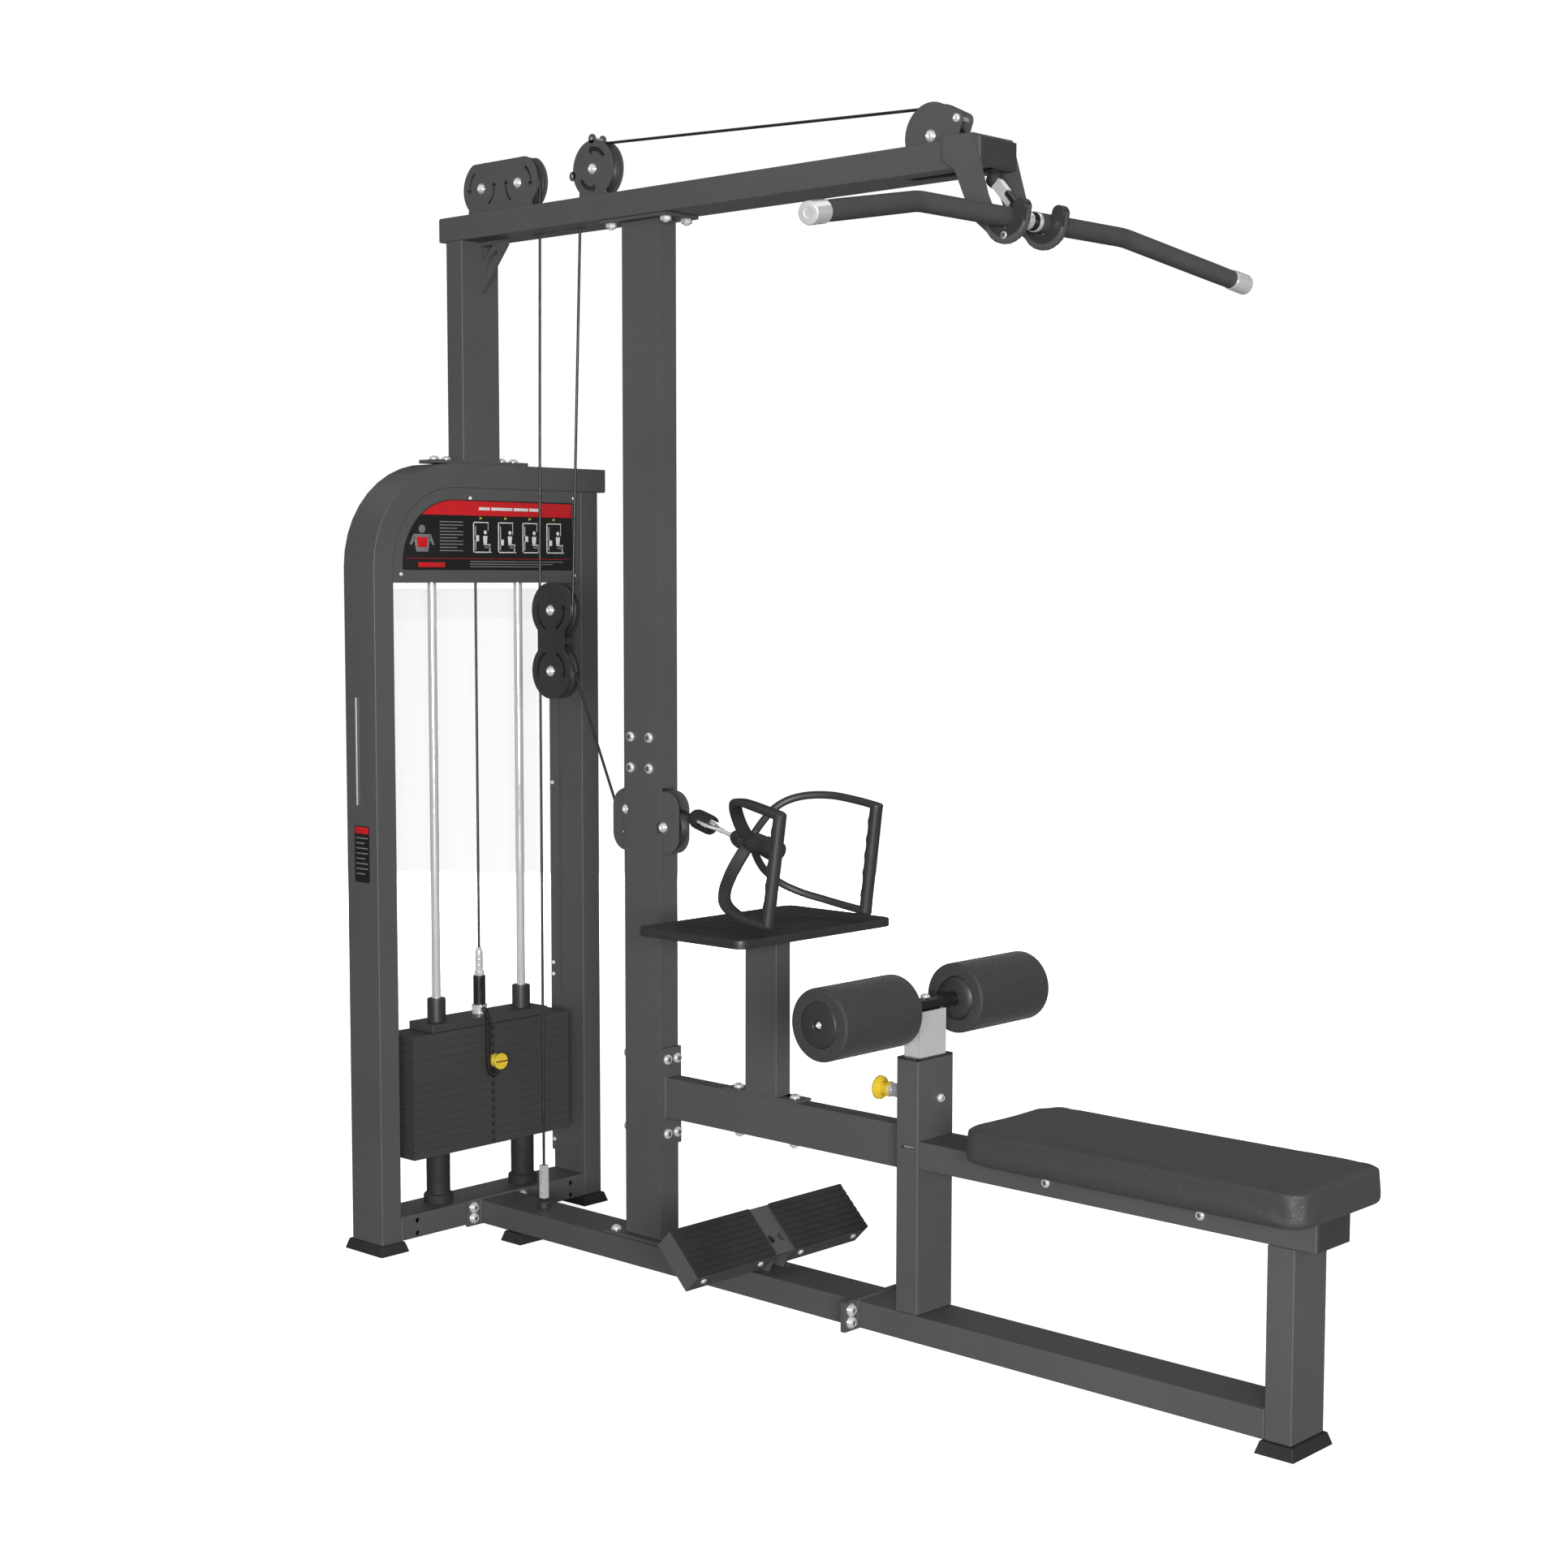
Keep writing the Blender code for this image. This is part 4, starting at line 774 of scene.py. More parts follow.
# ---- weight tower -------------------------------------------------------------------------------
def sign():
    """A placard with no lettering: plain bars for text and simple outline figures of the machine."""
    s = Shape()
    x, thick, ink = 0.0976, 0.0012, 0.0003
    left, right, low, high, top = -0.2317, 0.2332, 1.4098, 1.5550, 1.5230
    big, small = 0.135, 0.004
    centre = (left + big, high - big)
    outline = [(left, low + small), *arc((left + small, low + small), small, 180, 270, 4)]
    outline += arc((right - small, low + small), small, 270, 360, 4)
    outline += arc((right - small, high - small), small, 0, 90, 4)
    outline += reversed(arc(centre, big, 180, 90, 16))
    s.prism(outline, "YZ", x, x + thick, "ink_black", edge=0.0002)
    face = x + thick
    band = [(left + big - math.sqrt(big ** 2 - (top - high + big) ** 2) + 0.002, top)]
    band += [(right - 0.002, top), (right - 0.002, high - 0.003)]
    band += [p for p in reversed(arc(centre, big - 0.0015, 180, 90, 24)) if p[1] > top]
    s.prism(band, "YZ", face, face + ink, "ink_red", edge=0.0001)

    def shape(points, mat, lift=0.0):
        s.prism(points, "YZ", face + lift, face + lift + ink, mat, edge=0.00008)

    def bar(y, z, w, h, mat, lift=0.0):
        shape([(y, z), (y + w, z), (y + w, z + h), (y, z + h)], mat, lift)

    for y, w in mm("-30,30 4,58 66,40 110,26"):
        bar(y, 1.5345, w, 0.0062, "ink_white", ink)
    bar(left + 0.008, 1.4330, right - left - 0.016, 0.0008, "ink_red")
    for i in range(10):
        bar(-0.135, 1.5080 - i * 0.0066, 0.062 - 0.016 * (i % 3 == 2), 0.0022, "ink_grey")
    for i in range(3):
        bar(-0.055, 1.4265 - i * 0.0052, 0.26 - 0.03 * i, 0.0018, "ink_grey")
    bar(left + 0.040, 1.4155, 0.070, 0.0100, "ink_red")
    for k in range(4):
        y0, drop = -0.046 + k * 0.068, 0.008 * (k % 2)
        for y, z, w, h in ((y0, 1.446, 0.0028, 0.064), (y0, 1.508, 0.042, 0.0022), (y0, 1.446, 0.050, 0.0022),
                           (y0 + 0.006, 1.452, 0.0014, 0.050), (y0 + 0.006, 1.470 - drop, 0.010, 0.012),
                           (y0 + 0.028, 1.462, 0.020, 0.0022), (y0 + 0.044, 1.446, 0.0022, 0.018),
                           (y0 + 0.040, 1.492 - drop, 0.0012, 0.016 + drop)):
            bar(y, z, w, h, "ink_white")
        shape(circle(0.0042, 24, (y0 + 0.033, 1.4885)), "ink_white")
        shape([(y0 + 0.028, 1.465), (y0 + 0.037, 1.465), (y0 + 0.039, 1.481), (y0 + 0.027, 1.481)], "ink_white")
        bar(y0 + 0.031, 1.456, 0.016, 0.0034, "ink_grey")
        shape([(y0 + 0.018, 1.515), (y0 + 0.026, 1.518), (y0 + 0.018, 1.521)], "ink_yellow")
    shape(mm("-197,1447 -166,1447 -159,1483 -204,1483"), "ink_grey")
    shape(mm("-193,1456 -170,1456 -167,1477 -196,1477"), "ink_red", ink)
    shape(mm("-204,1483 -214,1462 -209,1460 -200,1474"), "ink_grey")
    shape(mm("-159,1483 -149,1462 -154,1460 -163,1474"), "ink_grey")
    shape(circle(0.0085, 24, (-0.1815, 1.4935)), "ink_grey")
    s.emit("sign_placard", "frame", weighted=False)
    s = Shape()
    for y, z in mm("-52,1559 -236,1401 238,1398.5 238,1565"):
        s.screw((0.0975, y, z), (1, 0, 0), 0.0042, 0.0028)
    for z in (0.9407, 0.537, 0.511, 0.1355):
        for side in (-1, 1):
            s.screw((0.005, side * 0.2540, z), (0, -side, 0), 0.0048, 0.0028)
    s.emit("tower_screws", "frame")


def decal():
    """Plain pinstripes and a plain data plate on the left post."""
    s = Shape()

    def shape(points, mat, lift=0.0):
        s.prism(points, "XZ", -0.3076 - lift, -0.30705 - lift, mat, edge=0.0001)

    for x, w in ((0.034, 0.0045), (0.043, 0.0020)):
        shape([(x, 0.930), (x + w, 0.930), (x + w, 1.150), (x, 1.150)], "ink_white" if w > 0.004 else "ink_grey")
    shape(rounded((0.026, 0.074), (0.772, 0.888), 0.003), "ink_black")
    shape(rounded((0.028, 0.072), (0.872, 0.886), 0.002), "ink_red", 0.0003)
    for i in range(8):
        z, end = 0.862 - i * 0.0105, 0.069 - 0.010 * (i % 3 == 1)
        shape([(0.031, z), (end, z), (end, z + 0.0026), (0.031, z + 0.0026)], "ink_grey", 0.0003)
    s.emit("post_decal", "frame", weighted=False)


def tower():
    made = refine("rear_shroud", "shroud")
    made.data.materials.append(MAT["paint"])
    for face in made.data.polygons:
        if abs(face.center.y) > 0.2535 and face.center.x + OX > -0.0045:
            face.material_index = 1
    for side, y in zip(("left", "right"), GUIDE_Y):
        s = Shape()
        z0, z1, top = GUIDE_LOW, 0.1825, GUIDE_TOP
        s.lathe([(0, z0), (0.0085, z0), (0.009, 0.0724), (0.009, top - 0.0006), (0.0085, top), (0, top)],
                (GUIDE_X, y, 0), (0, 0, 1), "chrome", 40)
        s.emit("guide_rod_%s_look" % side, "frame", ("guide_rod_" + side,))
        s = Shape()
        profile = [(0.0098, z0), (0.0310, z0), (0.0315, z0 + 0.0008), (0.0315, z0 + 0.0160), (0.0300, z0 + 0.0185)]
        profile += [(0.0262, z0 + 0.0205), (0.0250, z0 + 0.0235)]
        profile += [(0.0250, z1 - 0.002), (0.0235, z1), (0.0098, z1), (0.0098, z0)]
        s.lathe(profile, (GUIDE_X, y, 0), (0, 0, 1), "rubber", 40)
        s.emit("stack_buffer_%s_look" % side, "frame", ("stack_buffer_" + side,))
    s = Shape()
    s.lathe(mm("0,71.8 13.5,71.8 14,72.4 14,82 11,86 0,86"), (0.254, 0, 0), (0, 0, 1), "plastic", 32)
    s.box((0.2500, 0.2580), (-0.0040, 0.0040), (0.084, 0.100), "plastic", 0.0012)
    s.box((0.2465, 0.2615), (-0.0072, 0.0072), (0.0920, 0.1630), "chrome", 0.0014)
    for z in (0.1060, 0.1290, 0.1520):
        s.screw((0.254, -0.0072, z), (0, -1, 0), 0.0034, 0.0012, "zinc")
    s.emit("row_cable_anchor_look", "frame", ("row_cable_anchor",))


def plates():
    for node in ("resting_plates", "selected_plates"):
        refine(node, "stack_paint")
    split, pitch = 0.3566, 0.01738
    z0, z1 = split + 5 * pitch, split + 6 * pitch - 0.0003
    s = Shape()
    s.prism(rounded((0.010, 0.090), (-0.160, 0.160), 0.002), "XY", z0, z1, "stack_paint",
            [circle(0.0098, 30, (GUIDE_X, y)) for y in GUIDE_Y], 0.0010)
    for y in GUIDE_Y:
        s.lathe([(0.0098, z1 - 0.001), (0.0195, z1 - 0.001), (0.0195, 0.5070), (0.0185, 0.5088), (0.0098, 0.5092),
                 (0.0098, z1 - 0.001)], (GUIDE_X, y, 0), (0, 0, 1), "plastic", 40)
    centre = (GUIDE_X, 0, 0)
    s.lathe([(0, z1 - 0.001), (0.0150, z1 - 0.001), (0.0165, z1 + 0.001), (0.0165, 0.4700), (0.0150, 0.4712),
             (0.0150, 0.4735), (0.0165, 0.4748), (0.0165, 0.4800), (0.0150, 0.4808), (0, 0.4808)],
            centre, (0, 0, 1), "chrome", 40)
    sleeve = mm("0,480 12.5,480 13,481.2 13,542 12.2,543.3 0,543.3")
    s.lathe(sleeve, centre, (0, 0, 1), "gloss", 40)
    for k in range(10):
        a = 2 * math.pi * k / 10
        rib = Vector((GUIDE_X + 0.0126 * math.cos(a), 0.0126 * math.sin(a), 0))
        s.lathe(mm("0,484 .8,485 .8,539 0,540"), rib, (0, 0, 1), "gloss", 8)
    s.lathe(mm("0,543 10,543 10.5,544.5 10.5,551.5 9.8,553 0,553"), centre, (0, 0, 1), "chrome", 6)
    s.lathe(mm("0,552 8,552 8,594 6.6,598 5,603.6 0,604"), centre, (0, 0, 1), "chrome", 32)
    for z in (0.562, 0.574, 0.586):
        s.lathe([(0.0079, z), (0.0084, z + 0.001), (0.0084, z + 0.005), (0.0079, z + 0.006)], centre, (0, 0, 1),
                "chrome", 32)
    s.lathe(mm("0,0 4.5,0 4.5,9 3.5,10 0,10"), (0.0645, -0.004, 0.4765),
            (0.9, -0.44, 0), "zinc", 20)
    s.lathe([(0.012, z0 + 0.002), (0.012, 0.187), (0, 0.187)], centre, (0, 0, 1), "chrome", 24)
    s.emit("head_plate_look", "lifted_stack", ("head_plate",))
    s = Shape()
    pin_z = split + pitch / 2
    front = 0.0943
    s.lathe([(0, 0.038), (0.0030, 0.037), (0.0045, 0.041), (0.0045, front), (0, front)], (0, 0, pin_z), (1, 0, 0),
            "chrome", 24)
    s.lathe([(0, front), (0.0122, front), (0.0130, front + 0.001), (0.0130, 0.1050), (0.0122, 0.1066),
             (0.0098, 0.1080), (0.0092, 0.1100), (0.0100, 0.1122), (0.0135, 0.1134), (0.0168, 0.1142),
             (0.0175, 0.1155), (0.0175, 0.1205), (0.0165, 0.1218), (0, 0.1218)], (0, 0, pin_z), (1, 0, 0),
            "yellow", 48)
    for k in range(12):
        a = 2 * math.pi * k / 12
        spot = Vector((0, 0.0132 * math.cos(a), pin_z + 0.0132 * math.sin(a)))
        s.lathe(mm("0,95.5 1.1,96.5 1.1,103.5 0,104.5"), spot, (1, 0, 0), "yellow", 8)
    # a thin near-black bar across the knob's face: painted shade of a slot
    s.box((0.1210, 0.1219), (-0.0165, 0.0165), (pin_z - 0.0014, pin_z + 0.0014), "inner", 0.0003)
    s.emit("selector_pin_look", "pin", ("selector_pin",))


LANYARD = mm("74.5,-10,472 80,-13.5,474 87,-16.5,473.5 94.5,-18.5,469 100,-20,461 102,-21,448 102.5,-21.5,433 "
             "102.5,-22,417 102.5,-22,400 102.5,-22,383 102.5,-21.5,367 102.5,-20,352 102.8,-16,341 103.2,-9,336 "
             "103.5,-2,337.5 104,3.5,344")


def lanyard():
    """A curly cord from the stem's clamp to the selector pin."""
    wire, coil, pitch = 0.0016, 0.0050, 0.0031
    route = smooth([(x - OX, y, z) for x, y, z in LANYARD], 12)
    lengths = [0.0]
    for a, b in zip(route, route[1:]):
        lengths.append(lengths[-1] + (b - a).length)
    total = lengths[-1]
    count = int(total / pitch * 14)
    side = Vector((0, 1, 0))
    points, index = [], 0
    for i in range(count + 1):
        s = total * i / count
        while index < len(lengths) - 2 and lengths[index + 1] < s:
            index += 1
        t = (s - lengths[index]) / max(lengths[index + 1] - lengths[index], 1e-9)
        centre = route[index].lerp(route[index + 1], t)
        along = (route[index + 1] - route[index]).normalized()
        side = (side - along * side.dot(along)).normalized()
        across = along.cross(side)
        grow = min(1.0, 0.75 + s / 0.024, 0.75 + (total - s) / 0.024)
        a = 2 * math.pi * s / pitch
        points.append(centre + (side * math.cos(a) + across * math.sin(a)) * coil * grow)
    curve = bpy.data.curves.new("pin_lanyard_look", "CURVE")
    curve.dimensions = "3D"
    curve.bevel_depth = wire / 2
    curve.bevel_resolution = 2
    curve.use_fill_caps = True
    spline = curve.splines.new("POLY")
    spline.points.add(len(points) - 1)
    for point, co in zip(spline.points, points):
        point.co = (*co, 1)
    curve.materials.append(MAT["cable"])
    made = add_object("pin_lanyard_look", curve)
    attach(made, "lifted_stack")
    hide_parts("pin_lanyard")


# ---- cables and pulleys -------------------------------------------------------------------------
CABLE_R, PITCH_R, SMALL_R = 0.0028, 0.050, 0.041
TOP_REAR, TOP_FRONT, MID, FRONT = mm("100,2196.5 214,2196.5 437.5,2199.7 1300,2160")
CARRIAGE_UP, CARRIAGE_LOW = (0.304, 1.3276), (0.304, 1.2033)
COLUMN_REAR, COLUMN_FRONT = (0.528, 0.9344), (0.6315, 0.9043)
LAT_END, ROW_END = (1.4190, 2.0842), (0.6920, 0.9312)
PLATE_R, PLATE_Y = 0.057, (0.012, 0.016)
STRAIGHT = (0, 0.06, 0.25, 0.75, 0.94, 1)


def belt(start, wheels, end):
    """The cable's straight runs and the arcs between them, as (x, z) points."""
    stops = [(start, 0, 0.0)] + wheels + [(end, 0, 0.0)]
    leaves, meets = [], []
    for (c0, t0, r0), (c1, t1, r1) in zip(stops, stops[1:]):
        dx, dz = c1[0] - c0[0], c1[1] - c0[1]
        direction = math.atan2(dz, dx) + math.asin((t0 * r0 - t1 * r1) / math.hypot(dx, dz))
        normal = (math.sin(direction), -math.cos(direction))
        leaves.append((c0[0] + t0 * r0 * normal[0], c0[1] + t0 * r0 * normal[1]))
        meets.append((c1[0] + t1 * r1 * normal[0], c1[1] + t1 * r1 * normal[1]))
    runs = list(zip(leaves, meets))
    arcs = []
    for index, (centre, turn, radius) in enumerate(wheels):
        first, last = meets[index], leaves[index + 1]
        a0 = math.atan2(first[1] - centre[1], first[0] - centre[0])
        a1 = math.atan2(last[1] - centre[1], last[0] - centre[0])
        sweep = (a1 - a0) % (2 * math.pi) if turn > 0 else -((a0 - a1) % (2 * math.pi))
        count = max(4, round(math.degrees(abs(sweep)) / 6))
        arcs.append([(centre[0] + radius * math.cos(a0 + sweep * i / count),
                      centre[1] + radius * math.sin(a0 + sweep * i / count)) for i in range(count + 1)])
    return runs, arcs


def cable_piece(name, points, bodies, replaces=(), cuts=(0, 1)):
    """A length of cable that rides on one body, or a straight run between two bodies.

    Between two bodies the run is cut at several places into straight lengths that are fixed in place and ride on no
    body.
    """
    if len(bodies) == 1:
        s = Shape()
        s.sweep([(x, 0, z) for x, z in points], circle(CABLE_R, 14), "cable")
        s.emit(name, bodies[0], replaces, weighted=False)
        return
    start, end = Vector((points[0][0], 0, points[0][1])), Vector((points[1][0], 0, points[1][1]))
    for index, (a, b) in enumerate(zip(cuts, cuts[1:])):
        s = Shape()
        s.sweep([start.lerp(end, a + (b - a) * i / 20) for i in range(21)], circle(CABLE_R, 14), "cable")
        made = s.emit(name if index == 0 else "%s_%d" % (name, index + 1), None,
                      replaces if index == 0 else (), weighted=False)
        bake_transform(made)


def cables():
    runs, arcs = belt((0.050, 0.6043), [(TOP_REAR, -1, PITCH_R), (TOP_FRONT, -1, PITCH_R), (CARRIAGE_UP, 1, PITCH_R),
                                        (MID, -1, PITCH_R), (FRONT, -1, PITCH_R)], LAT_END)
    cable_piece("lat_cable_stack_run", runs[0], ("lifted_stack", "frame"), ("lat_cable",))
    cable_piece("lat_cable_over_top", arcs[0] + arcs[1], ("frame",))
    cable_piece("lat_cable_down", runs[2], ("frame", "carriage"))
    cable_piece("lat_cable_carriage", arcs[2], ("carriage",))
    cable_piece("lat_cable_up", runs[3], ("carriage", "frame"))
    cable_piece("lat_cable_boom", arcs[3] + arcs[4], ("frame",))
    cable_piece("lat_cable_bar_run", runs[5], ("frame", "pull_bar"), (), STRAIGHT)
    runs, arcs = belt((0.254, 0.1633), [(CARRIAGE_LOW, -1, PITCH_R), (COLUMN_REAR, 1, SMALL_R),
                                        (COLUMN_FRONT, -1, SMALL_R)], ROW_END)
    cable_piece("row_cable_anchor_run", runs[0], ("frame", "carriage"), ("row_cable",))
    cable_piece("row_cable_carriage", arcs[0], ("carriage",))
    cable_piece("row_cable_slant", runs[1], ("carriage", "frame"), (), STRAIGHT)
    cable_piece("row_cable_column", arcs[1] + arcs[2], ("frame",))
    cable_piece("row_cable_grip_run", runs[3], ("frame", "row_grip"))


def pulley(node, centre, pitch):
    rim, half = pitch + 0.004, 0.0075
    floor = pitch - CABLE_R - 0.0004
    side = [(0.0058, -0.0088), (0.0135, -0.0088), (0.0165, -0.0080), (0.0170, -0.0060), (rim * 0.55, -0.0050),
            (rim * 0.80, -0.0050), (rim - 0.0060, -half + 0.0006), (rim - 0.0050, -half), (rim - 0.0010, -half),
            (rim, -half + 0.0009), (rim - 0.0004, -0.0058), (floor + 0.0020, -0.0036), (floor + 0.0004, -0.0018)]
    profile = side + [(floor, 0)] + [(r, -y) for r, y in reversed(side)] + [side[0]]
    s = Shape()
    s.lathe(profile, (centre[0], 0, centre[1]), (0, 1, 0), "plastic", 72)
    s.emit(node + "_look", body_of(node), (node,), angle=40)


def arrow(centre, radius, start, end, width=0.0058):
    """A curved arrow cut into a cover plate."""
    back = math.copysign(16, end - start)
    barb = width * 1.35
    head = [on_circle(centre, radius + barb, end - back), on_circle(centre, radius, end),
            on_circle(centre, radius - barb, end - back)]
    return (arc(centre, radius + width / 2, start, end - back, 10) + head
            + arc(centre, radius - width / 2, end - back, start, 8))


def cover_plates(node, outline, axles, holes=(), spacers=(), extra=None, mat="paint"):
    s = Shape()
    loops = list(holes) + [circle(0.0048, 24, axle) for axle in axles]
    s.prism(outline, "XZ", *PLATE_Y, mat, loops, 0.0005)
    s.prism(outline, "XZ", -PLATE_Y[1], -PLATE_Y[0], mat, loops, 0.0005)
    for x, z in axles:
        s.lathe(mm("0,0 5,0 5,32 0,32"), (x, -0.016, z), (0, 1, 0), "zinc", 24)
        for side in (-1, 1):
            s.screw((x, side * PLATE_Y[1], z), (0, side, 0), 0.0090, 0.0062, washer=0.0110)
    for x, z in spacers:
        s.lathe(mm("0,0 4.2,0 4.2,32 0,32"), (x, -0.016, z), (0, 1, 0), "zinc", 24)
        for side in (-1, 1):
            s.screw((x, side * PLATE_Y[1], z), (0, side, 0), 0.0076, 0.0055)
    if extra:
        extra(s)
    s.emit(node + "_look", body_of(node), (node,))


def standing(circles, left, right, top=math.inf, floor=2.1413):
    """The outline round some pulleys, cut level with the boom's top and, where asked, at a lower top."""
    points = [(x, min(z, top)) for x, z in hull(*circles) if z > floor + 0.012]
    middle = sum(p[0] for p in points) / len(points)
    points.sort(key=lambda p: math.atan2(p[1] - floor, p[0] - middle))
    return [(left, floor), (right, floor)] + points


def pulleys():
    for node, centre in (("pulley_top_rear", TOP_REAR), ("pulley_top_front", TOP_FRONT), ("pulley_mid", MID),
                         ("pulley_front", FRONT), ("pulley_carriage_upper", CARRIAGE_UP),
                         ("pulley_carriage_lower", CARRIAGE_LOW), ("pulley_column_rear", COLUMN_REAR),
                         ("pulley_column_front", COLUMN_FRONT)):
        pulley(node, centre, SMALL_R if "column" in node else PITCH_R)
    cover_plates("top_pulley_housing",
                 standing([(*TOP_REAR, PLATE_R), (*TOP_FRONT, PLATE_R)], 0.056, 0.258, 2.2478), (TOP_REAR, TOP_FRONT),
                 [arrow(TOP_REAR, 0.039, 124, 195), arrow(TOP_REAR, 0.0385, -58, 19),
                  arrow(TOP_FRONT, 0.039, 234, 161), arrow(TOP_FRONT, 0.0378, 58, -17)])

    def ears(s):
        for turn in (92, 188):
            x, z = on_circle(MID, PLATE_R + 0.002, turn)
            for side in (-1, 1):
                faces = sorted((side * PLATE_Y[0], side * PLATE_Y[1]))
                s.prism(circle(0.0095, 24, (x, z)), "XZ", *faces, "paint", [circle(0.0035, 12, (x, z))], 0.0005)
            s.lathe(mm("0,0 3.4,0 3.4,33 0,33"), (x, -0.0165, z), (0, 1, 0), "zinc", 20)

    cover_plates("mid_pulley_housing", standing([(*MID, PLATE_R)], MID[0] - 0.043, MID[0] + 0.043), (MID,),
                 [arrow(MID, 0.0385, 34, 110.5, 0.0085), arrow(MID, 0.0385, 209, 285, 0.0085)], extra=ears)
    cover_plates("front_pulley_housing", hull((*FRONT, 0.0580), (1.3570, 2.1825, 0.013)), (FRONT,), (),
                 [(1.3580, 2.1835)])
    cover_plates("column_pulley_housing", rounded((0.4885, 0.6730), (0.8516, 0.9756), 0.036, 12),
                 (COLUMN_REAR, COLUMN_FRONT), [circle(0.0045, 12, (0.518, 0.888))])
    angle = math.degrees(math.asin(0.0395 / PLATE_R))
    outline = arc(CARRIAGE_UP, PLATE_R, -90 + angle, 270 - angle, 60)
    outline += arc(CARRIAGE_LOW, PLATE_R, 90 + angle, 450 - angle, 60)
    middle = (CARRIAGE_UP[1] + CARRIAGE_LOW[1]) / 2
    cover_plates("carriage_frame", outline, (CARRIAGE_UP, CARRIAGE_LOW),
                 [arrow(CARRIAGE_UP, 0.040, 247, 161), arrow(CARRIAGE_UP, 0.040, -67, 19),
                  arrow(CARRIAGE_LOW, 0.040, 113, 201), arrow(CARRIAGE_LOW, 0.040, 67, -21)], mat="plastic",
                 extra=lambda s: s.box((0.2705, 0.3375), (-0.0125, 0.0125), (middle - 0.0065, middle + 0.0065),
                                       "plastic", 0.001))


# ---- lat bar and its holder ---------------------------------------------------------------------
BAR, BAR_BEND_Y = (1.497, 1.998), 0.287
BAR_END = Vector((1.5497, 0.6087, 1.9387))


def bar_holder():
    refine("bar_holder", "paint")
    x, z = BAR[0], BAR[1] + 0.001
    outer = arc((x + 0.004, z + 0.003), 0.0400, -175, -8, 40)
    tip = arc((x + 0.0330, z + 0.0140), 0.0125, -2, 182, 16)
    inner = arc((x, z), 0.0198, 30, -172, 32)
    pad = outer + [(x + 0.0450, z + 0.006)] + tip + inner + [(1.4700, 2.0070), (1.4600, 2.0080)]
    s = Shape()
    for side in (-1, 1):
        s.prism(pad, "XZ", *sorted((side * 0.0440, side * 0.0627)), "plastic", (), 0.0014)
        s.screw((1.498, side * 0.0627, 1.967), (0, side, 0), 0.0062, 0.0022)
    s.emit("bar_hook_pads", "frame")


def lat_bar():
    x, z = BAR
    bend = Vector((x, BAR_BEND_Y, z))
    slope = (BAR_END - bend).normalized()
    s = Shape()
    last = BAR_END - slope * 0.004
    core = filleted([(last.x, -last.y, last.z), (x, -bend.y, z), bend, last], 0.12, 10)
    s.sweep(core, circle(0.0124, 28), "chrome", (0, 0, 1))
    s.lathe(mm("12.3,-20 12.7,-20 12.7,20 12.3,20 12.3,-20"), (x, 0, z), (0, 1, 0), "gloss", 48)
    for side, hand in ((-1, "left"), (1, "right")):
        mirror = Vector((1, side, 1))
        start = (BAR_END - slope * 0.042) * mirror
        along = slope * mirror
        s.lathe(mm("0,0 17.8,0 18.5,.8 18.5,38.5 17.5,41.2 15,42.5 8,42.5 7.6,41 0,41"), start, along, "chrome", 48)
        s.lathe(mm("12.4,20 17,20 17.5,20.8 17.5,27.2 17,28 12.4,28 12.4,20"), (x, 0, z), (0, side, 0), "chrome", 48)
        s.lathe(mm("12.4,19.2 16,19.2 16,20.2 12.4,20.2 12.4,19.2"), (x, 0, z), (0, side, 0), "gloss", 40)
        grip = Shape()
        first = Vector((x, side * 0.0283, z))
        last = (BAR_END - slope * 0.0423) * mirror
        path = filleted([first, (x, side * BAR_BEND_Y, z), last], 0.12, 10)
        fine = [path[0].lerp(path[1], i / 12) for i in range(12)] + path[1:-1]
        fine += [path[-2].lerp(path[-1], i / 12) for i in range(1, 13)]
        ends = [0.90, 0.98] + [1.0] * (len(fine) - 4) + [0.98, 0.90]
        fine[1] = fine[0].lerp(fine[1], 0.06)
        fine[-2] = fine[-1].lerp(fine[-2], 0.06)
        grip.sweep(fine, circle(0.0170, 32), "grip", (0, 0, 1), ends)
        grip.emit("lat_grip_%s_look" % hand, "pull_bar", ("lat_grip_" + hand,), weighted=False)
    link = (Vector((x, 0, z)) - Vector((LAT_END[0], 0, LAT_END[1]))).normalized()
    middle = Vector((x, 0, z))
    s.lathe(mm("0,13.5 6,13.5 8.5,12 9,20 8.5,29 7,31 7,38.5 0,40"), middle, -link, "plastic", 32)
    s.lathe(mm("12.4,-6 15,-6 15.6,-5.2 15.6,5.2 15,6 12.4,6 12.4,-6"), middle, (0, 1, 0), "chrome", 48)
    s.emit("lat_bar_look", "pull_bar", ("lat_bar",))
    s = Shape()
    start = Vector((LAT_END[0], 0, LAT_END[1])) + link * 0.001
    s.lathe(mm("0,0 6.2,0 7.5,1.5 11.5,5 14,8 14.8,11 14.8,16 13.5,20.5 10.5,23 0,23"), start, link, "rubber", 40)
    side = Vector((0, 1, 0))
    across = side.cross(link)
    turn = axes_at(start, across, side, link)
    for box, mat, radius in (("-10,10 -7,7 17,50", "chrome", 0.0012), ("1,10 -7,7 49,72.5", "chrome", 0.0012),
                             ("-7.5,0 -5,5 47,75.5", "gloss", 0.0016), ("-6,6 -4.8,4.8 69,75.5", "gloss", 0.0012)):
        s.box(*mm(box), mat, radius, turn)
    s.lathe(mm("0,-6.8 2.2,-6.8 2.6,-6.2 2.6,6.2 2.2,6.8 0,6.8"),
            start + link * 0.0640 + across * 0.0045, side, "zinc", 20)
    s.emit("lat_link_look", "pull_bar", ("lat_link",))


